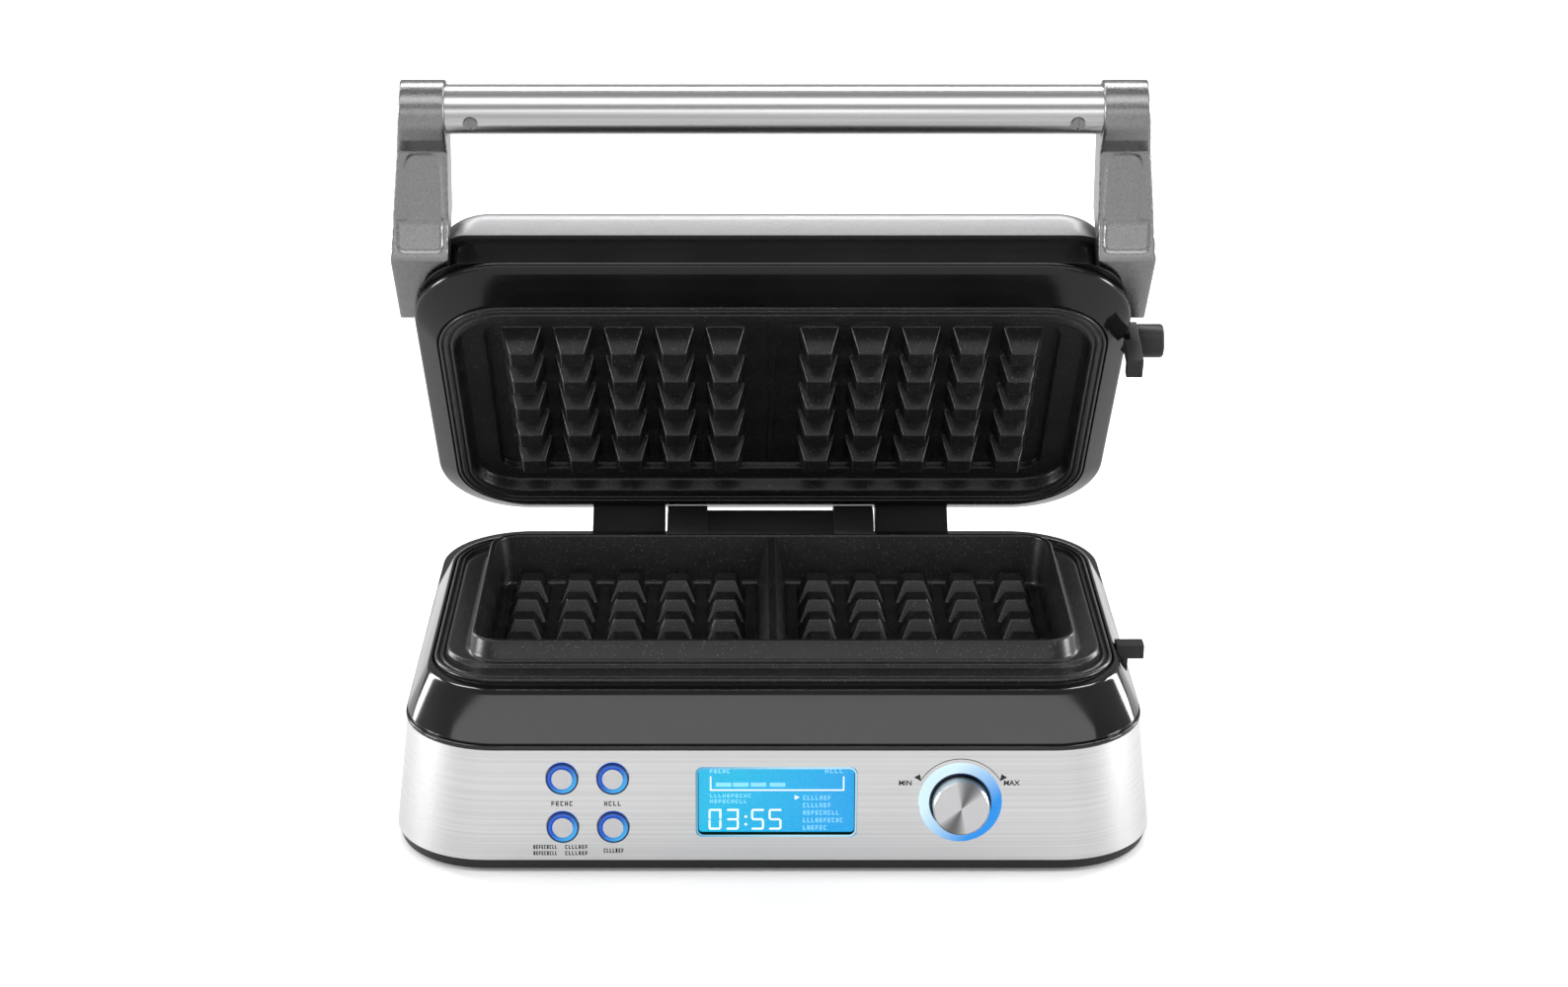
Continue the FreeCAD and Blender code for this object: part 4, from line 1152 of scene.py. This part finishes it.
# %% Keys
cap_radius = 4.0 * mm
ring_inner = 4.4 * mm
ring_outer = 6.3 * mm
glow_outer = ring_outer - 0.6 * mm
rim = [(ring_outer, 0.1 * mm)]
rim += edge_points(ring_outer, ring_front, ((0, 0.15), (0.15, 0), (0.5, 0), (0.6, 0.2)))
rim += [(glow_outer, 0.1 * mm)]
glow = [(glow_outer, ring_back)]
glow += edge_points(glow_outer, ring_front, ((0, 0.2), (0.4, 0.05)))
glow += [(ring_inner + 0.3 * mm, ring_front - 0.05 * mm), (ring_inner, ring_front - 0.4 * mm)]
glow += [(ring_inner, ring_back)]
cap_face = ((0, 0.7), (0.12, 0.3), (0.5, 0.05), (0.8, 0), (1.1, 0.08), (2.8, 0.16), (4.0, 0.16))
for key in keys:
    button, key_body = key + "_button", key + "_key"
    spot = on_panel(*panel_spot(button))
    cap = [(cap_radius, ring_back + 0.6 * mm)]
    cap += edge_points(cap_radius, panel_depth(button)[1], cap_face)
    dress(turned(key_body + "_cap", cap, 48, spot), button + "_alloy", key_body)
    rim_piece = turned(key_body + "_rim", rim, 56, spot)
    dress(rim_piece, "navy_rim", "base", ["button_rings"])
    glow_piece = turned(key_body + "_glow", glow, 56, spot)
    dress(glow_piece, button + "_glow", "base", ["button_rings"])

# %% Dial
dial_x, dial_up = dial_spot
dial_place = on_panel(dial_x, dial_up)
knob_radius = 10.9 * mm
knob_back, knob_front = panel_depth("browning_knob")
knob_foot = knob_back + 0.05 * mm
knob_side = ((0.15, 1.3), (0.4, 0.55), (0.9, 0.12), (1.3, 0))
knob_face = ((1.6, 0.1), (5.9, 0.3), (10.1, 0.42), (10.9, 0.42))
profile = [(knob_radius - 1.5 * mm, knob_foot), (knob_radius - 0.1 * mm, knob_foot)]
profile += [(knob_radius, knob_back + 0.25 * mm)]
profile += edge_points(knob_radius, knob_front, knob_side + knob_face)
dress(turned("dial", profile, 96, dial_place), "spun_alloy", "knob")

# %% Ring and sleeve of the dial
halo_outer = 16.1 * mm
sleeve_outer = 12.05 * mm
halo = [(halo_outer, light_back)]
halo += edge_points(halo_outer, light_front, ((0, 0.3), (0.4, 0), (3.5, 0), (4.0, 0.3)))
halo += [(halo_outer - 4.0 * mm, light_back)]
sleeve = [(sleeve_outer, light_back)]
sleeve += edge_points(sleeve_outer, light_front, ((0, 0.05), (0.25, 0), (0.6, 0.1)))
sleeve += [(sleeve_outer - 0.6 * mm, light_back)]
for name, profile, material, label in (
    ("dial_glow_ring", halo, "dial_glow", "blue_light"),
    ("dial_sleeve", sleeve, "navy_rim", "black_moulding"),
):
    dress(turned(name, profile, 96, dial_place), material, "base", ["knob_light_ring"])

# %% [markdown]
# ## Display figures
# The display is a blue backlit glass with pale segments. The figures could be one drawn picture,
# but thin plates laid just in front of the lit layer stay sharp from any distance: a bracket with
# four cells for the browning scale, a clock and a list. Words are shown only as plain strokes, the
# way a display looks when its small print can't be read.

# %% Bars, words and thin pieces
layer_front = panel_depth("display_panel")[1]
glass_front = panel_depth("display_window")[1]
screen_x, screen_up = screen_spot
screen_left = screen_x - 31.2 * mm
screen_top = screen_up + 14.4 * mm
lit_layer = (layer_front + 0.01 * mm, layer_front + 0.05 * mm)


def screen_bar(data, x0, x1, y0, y1, radius=0.15 * mm):
    """A bar given in distances from the display's top left corner."""
    radius = min(radius, 0.45 * (x1 - x0), 0.45 * (y1 - y0))
    left, top = screen_left, screen_top
    add_bar(data, left + x0, left + x1, top - y1, top - y0, radius, lit_layer, 3)


def word(data, bar_maker, x, y, count, height, pitch):
    """A row of small strokes that stands for a word too small to read."""
    strokes = "lcelhflceh"
    width = pitch * 0.68
    line = height * 0.22
    waist = y + height * 0.42
    for i in range(count):
        x0 = x + i * pitch
        kind = strokes[(i * 3 + count) % len(strokes)]
        bar_maker(data, x0, x0 + line, y, y + height)
        if kind in "lce":
            bar_maker(data, x0 + line, x0 + width, y + height - line, y + height)
        if kind in "cef":
            bar_maker(data, x0 + line, x0 + width, y, y + line)
        if kind in "ehf":
            bar_maker(data, x0 + line, x0 + width, waist, waist + line)
        if kind == "h":
            bar_maker(data, x0 + width - line, x0 + width, y, y + height)


def panel_piece(name, data, material):
    """A piece made in the panel's frame, as part of the base."""
    piece = finish_mesh(name, data, 60)
    piece.matrix_world = panel_frame
    dress(piece, material, "base")


print("display layer", round(layer_front / mm, 2), "mm, glass", round(glass_front / mm, 2), "mm")

# %% Scale bracket and clock
figures = bmesh.new()
screen_bar(figures, 5.4 * mm, 57.5 * mm, 10.1 * mm, 10.7 * mm)
for x in (5.4 * mm, 57.0 * mm):
    screen_bar(figures, x, x + 0.55 * mm, 4.7 * mm, 10.7 * mm)

segments = {"0": "abcdef", "3": "abgcd", "5": "afgcd"}
digit_w, digit_h, stroke = 5.0 * mm, 8.6 * mm, 0.8 * mm
digit_top = 18.2 * mm
half = digit_h / 2
left_stroke, right_stroke = (0.0, stroke), (digit_w - stroke, digit_w)
upper_half, lower_half = (0.5 * mm, half - 0.2 * mm), (half + 0.2 * mm, digit_h - 0.5 * mm)
segment_bars = {
    "a": (0.4 * mm, digit_w, 0.0, stroke),
    "g": (0.5 * mm, digit_w - 0.5 * mm, half - stroke / 2, half + stroke / 2),
    "d": (0.2 * mm, digit_w - 0.4 * mm, digit_h - stroke, digit_h),
    "f": left_stroke + upper_half,
    "e": left_stroke + lower_half,
    "b": right_stroke + upper_half,
    "c": right_stroke + lower_half,
}
for digit, x in (("0", 4.8 * mm), ("3", 11.6 * mm), ("5", 21.4 * mm), ("5", 28.2 * mm)):
    for letter in segments[digit]:
        x0, x1, y0, y1 = segment_bars[letter]
        screen_bar(figures, x + x0, x + x1, digit_top + y0, digit_top + y1, 0.3 * mm)
for y in (20.9 * mm, 24.1 * mm):
    screen_bar(figures, 18.8 * mm, 19.8 * mm, y, y + 1.0 * mm, 0.4 * mm)
arrow = ((38.3, 12.4), (40.2, 13.4), (38.3, 14.4))
add_plate(figures, [(screen_left + x * mm, screen_top - y * mm) for x, y in arrow], lit_layer)
panel_piece("display_figures", figures, "display_figures")

# %% Small words and cells
faint = bmesh.new()
for x in (7.6, 14.3, 21.2, 28.6):
    screen_bar(faint, x * mm, (x + 6.1) * mm, 7.3 * mm, 9.0 * mm, 0.3 * mm)
words = [
    (5.4, 1.5, 5, 1.9, 1.65),
    (50.0, 1.5, 4, 1.9, 1.9),
    (5.4, 12.0, 10, 1.5, 1.65),
    (5.4, 14.3, 9, 1.5, 1.65),
]
for y, count in ((12.6, 7), (15.7, 7), (18.8, 9), (21.9, 10), (25.0, 6)):
    words.append((41.6, y, count, 1.9, 1.6))
for x, y, count, height, pitch in words:
    word(faint, screen_bar, x * mm, y * mm, count, height * mm, pitch * mm)
panel_piece("display_small_marks", faint, "display_faint")

# %% Painted highlight on the edge of the glass
edge_top = glass_front - 0.02 * mm
edge_foot = glass_front - 0.35 * mm
edge_rings = []
for inset, z in ((0.0, edge_foot), (0.0, edge_top), (0.7 * mm, edge_top), (0.7 * mm, edge_foot)):
    half_h = 14.35 * mm - inset
    section = (31.15 * mm - inset, screen_up - half_h, screen_up + half_h, 3.0 * mm - inset, z)
    edge_rings.append(outline(section, 8, screen_x))
edge = bmesh.new()
add_rings(edge, edge_rings, loop=True)
panel_piece("display_edge_painted_highlight", edge, "display_edge_painted_highlight")

# %% [markdown]
# ## Printed marks
# Black screen print on the steel: an arc over the dial with an arrowhead at each end, its two end
# marks, and a small caption under each key. The captions are strokes and not words. Ink is only a
# few hundredths of a millimetre thick, so these are very thin plates on the panel's face.

# %% Captions
ink = (0.012 * mm, 0.05 * mm)


def print_bar(data, x0, x1, y0, y1):
    """A printed bar in panel coordinates, with y counted downwards."""
    radius = 0.125 * min(x1 - x0, y1 - y0)
    add_bar(data, x0, x1, -y1, -y0, radius, ink, 2)


marks = bmesh.new()
captions = (
    ("power", -4.3, 10.2, 5, 1.9, 1.75),
    ("menu", -3.4, 10.2, 4, 1.9, 1.75),
    ("texture", -11.6, 8.2, 9, 1.7, 1.05),
    ("texture", -11.6, 10.8, 9, 1.7, 1.05),
    ("texture", 0.8, 8.2, 7, 1.7, 1.3),
    ("texture", 0.8, 10.8, 7, 1.7, 1.3),
    ("restart", -3.8, 9.7, 7, 1.8, 1.15),
)
for key, across, down, count, height, pitch in captions:
    x, up = panel_spot(key + "_button")
    top = down * mm - up - height * mm / 2
    word(marks, print_bar, x + across * mm, top, count, height * mm, pitch * mm)
print("captions:", len(captions))

# %% Arc and arrowheads
arc_radius = 17.8 * mm
arc_half_width = 0.14 * mm
arc_reach = 58
arc_steps = 48


def arc_point(step, radius):
    """A point of the arc over the dial, as (x, up). Step 0 is its left end."""
    angle = math.radians(90 + arc_reach - step * 2 * arc_reach / arc_steps)
    return dial_x + radius * math.cos(angle), dial_up + radius * math.sin(angle)


low, high = arc_radius - arc_half_width, arc_radius + arc_half_width
for i in range(arc_steps):
    corners = [arc_point(i, low), arc_point(i + 1, low), arc_point(i + 1, high), arc_point(i, high)]
    add_plate(marks, corners, ink)
arrowhead = ((15.1, 8.6), (15.8, 11.6), (18.0, 10.2))
for side in (-1, 1):
    add_plate(marks, [(dial_x + side * x * mm, dial_up + up * mm) for x, up in arrowhead], ink)
panel_piece("panel_print", marks, "panel_ink")

# %% End marks
for name, text, x in (("min_mark", "MIN", -24.0 * mm), ("max_mark", "MAX", 16.6 * mm)):
    letters = bpy.data.curves.new(name, "FONT")
    letters.body = text
    letters.size = 2.9 * mm
    letters.extrude = 0.02 * mm
    letters.offset = 0.07 * mm
    source = bpy.data.objects.new(name + "_source", letters)
    bpy.context.scene.collection.objects.link(source)
    bpy.context.view_layer.update()
    mesh = bpy.data.meshes.new_from_object(source.evaluated_get(bpy.context.evaluated_depsgraph_get()))
    bpy.data.objects.remove(source)
    mark = bpy.data.objects.new(name, mesh)
    bpy.context.scene.collection.objects.link(mark)
    mark.matrix_world = on_panel(dial_x + x, dial_up + 7.0 * mm, 0.035 * mm)
    dress(mark, "panel_ink", "base")

# %% [markdown]
# ## Stage, light and camera
# A plain white floor runs into a white surround. One wide soft light hangs in front and above,
# so the sloping collar shows an even grey, and narrow strips at the back and sides draw the long
# bright lines in the metal and the gloss black. Floor and surround are dimmer in reflections than
# they look, which keeps the blacks black.

# %% Floor
floor = block(-6, 6, -5, 7, -0.02, 0.0, "floor")
floor_tree, floor_shader = finish("floor_white", (0.93, 0.93, 0.93), 0.9, 0.0)
floor_shader.inputs["Emission Color"].default_value = (1, 1, 1, 1)
seen = floor_tree.nodes.new("ShaderNodeLightPath").outputs
for ray, plain, special, label in (
    ("Is Camera Ray", 0.03, 0.12, "Emission Strength"),
    ("Is Glossy Ray", 0.93, 0.55, "Base Color"),
):
    level = range_node(floor_tree, seen[ray], 0.0, 1.0, plain, special)
    floor_tree.links.new(level, floor_shader.inputs[label])
floor.data.materials.append(materials["floor_white"])

# %% Surround
world = bpy.data.worlds.new("surround")
bpy.context.scene.world = world
world.use_nodes = True
sky = world.node_tree
backdrop = sky.nodes["Background"]
backdrop.inputs["Color"].default_value = (1, 1, 1, 1)
path = sky.nodes.new("ShaderNodeLightPath")
level = range_node(sky, path.outputs["Is Camera Ray"], 0.0, 1.0, 0.35, 1.0)
sky.links.new(level, backdrop.inputs["Strength"])
print("the surround is set")


# %% Lights
def softbox(name, place, aim, size, radiance):
    """A rectangular light aimed at a point, given by how bright its face is."""
    light = bpy.data.lights.new(name, "AREA")
    light.shape = "RECTANGLE"
    light.size, light.size_y = size
    light.energy = radiance * math.pi * size[0] * size[1]
    lamp = bpy.data.objects.new(name, light)
    bpy.context.scene.collection.objects.link(lamp)
    lamp.location = place
    lamp.rotation_euler = (Vector(aim) - Vector(place)).to_track_quat("-Z", "Y").to_euler()


softbox("front_top", (0.0, -1.3, 1.9), (0, -0.05, 0.1), (5.0, 1.0), 2.1)
softbox("front_low", (0.0, -2.3, 0.45), (0, 0.0, 0.12), (2.6, 0.6), 1.6)
softbox("top_back", (0.0, 1.0, 1.9), (0, 0.0, 0.15), (2.4, 0.3), 15.0)
for label, side in (("left", -1), ("right", 1)):
    softbox("back_strip_" + label, (side * 1.7, 1.0, 0.75), (0, 0.0, 0.2), (0.35, 1.3), 16.0)
    softbox("side_strip_" + label, (side * 1.6, -0.2, 0.32), (0, -0.02, 0.15), (0.5, 0.4), 26.0)
print("lights:", len(bpy.data.lights))

# %% Camera
camera_data = bpy.data.cameras.new("camera")
camera_data.lens = 65.96
camera_data.sensor_width = 36.0
camera_data.shift_x = 0.02433
camera = bpy.data.objects.new("camera", camera_data)
bpy.context.scene.collection.objects.link(camera)
camera.location = (-0.01087, -1.11129, 0.54121)
camera.rotation_euler = (math.radians(69), 0, 0)
bpy.context.scene.camera = camera
bpy.context.scene.view_settings.view_transform = "Standard"
print("the camera looks down by", round(90 - math.degrees(camera.rotation_euler.x)), "degrees")
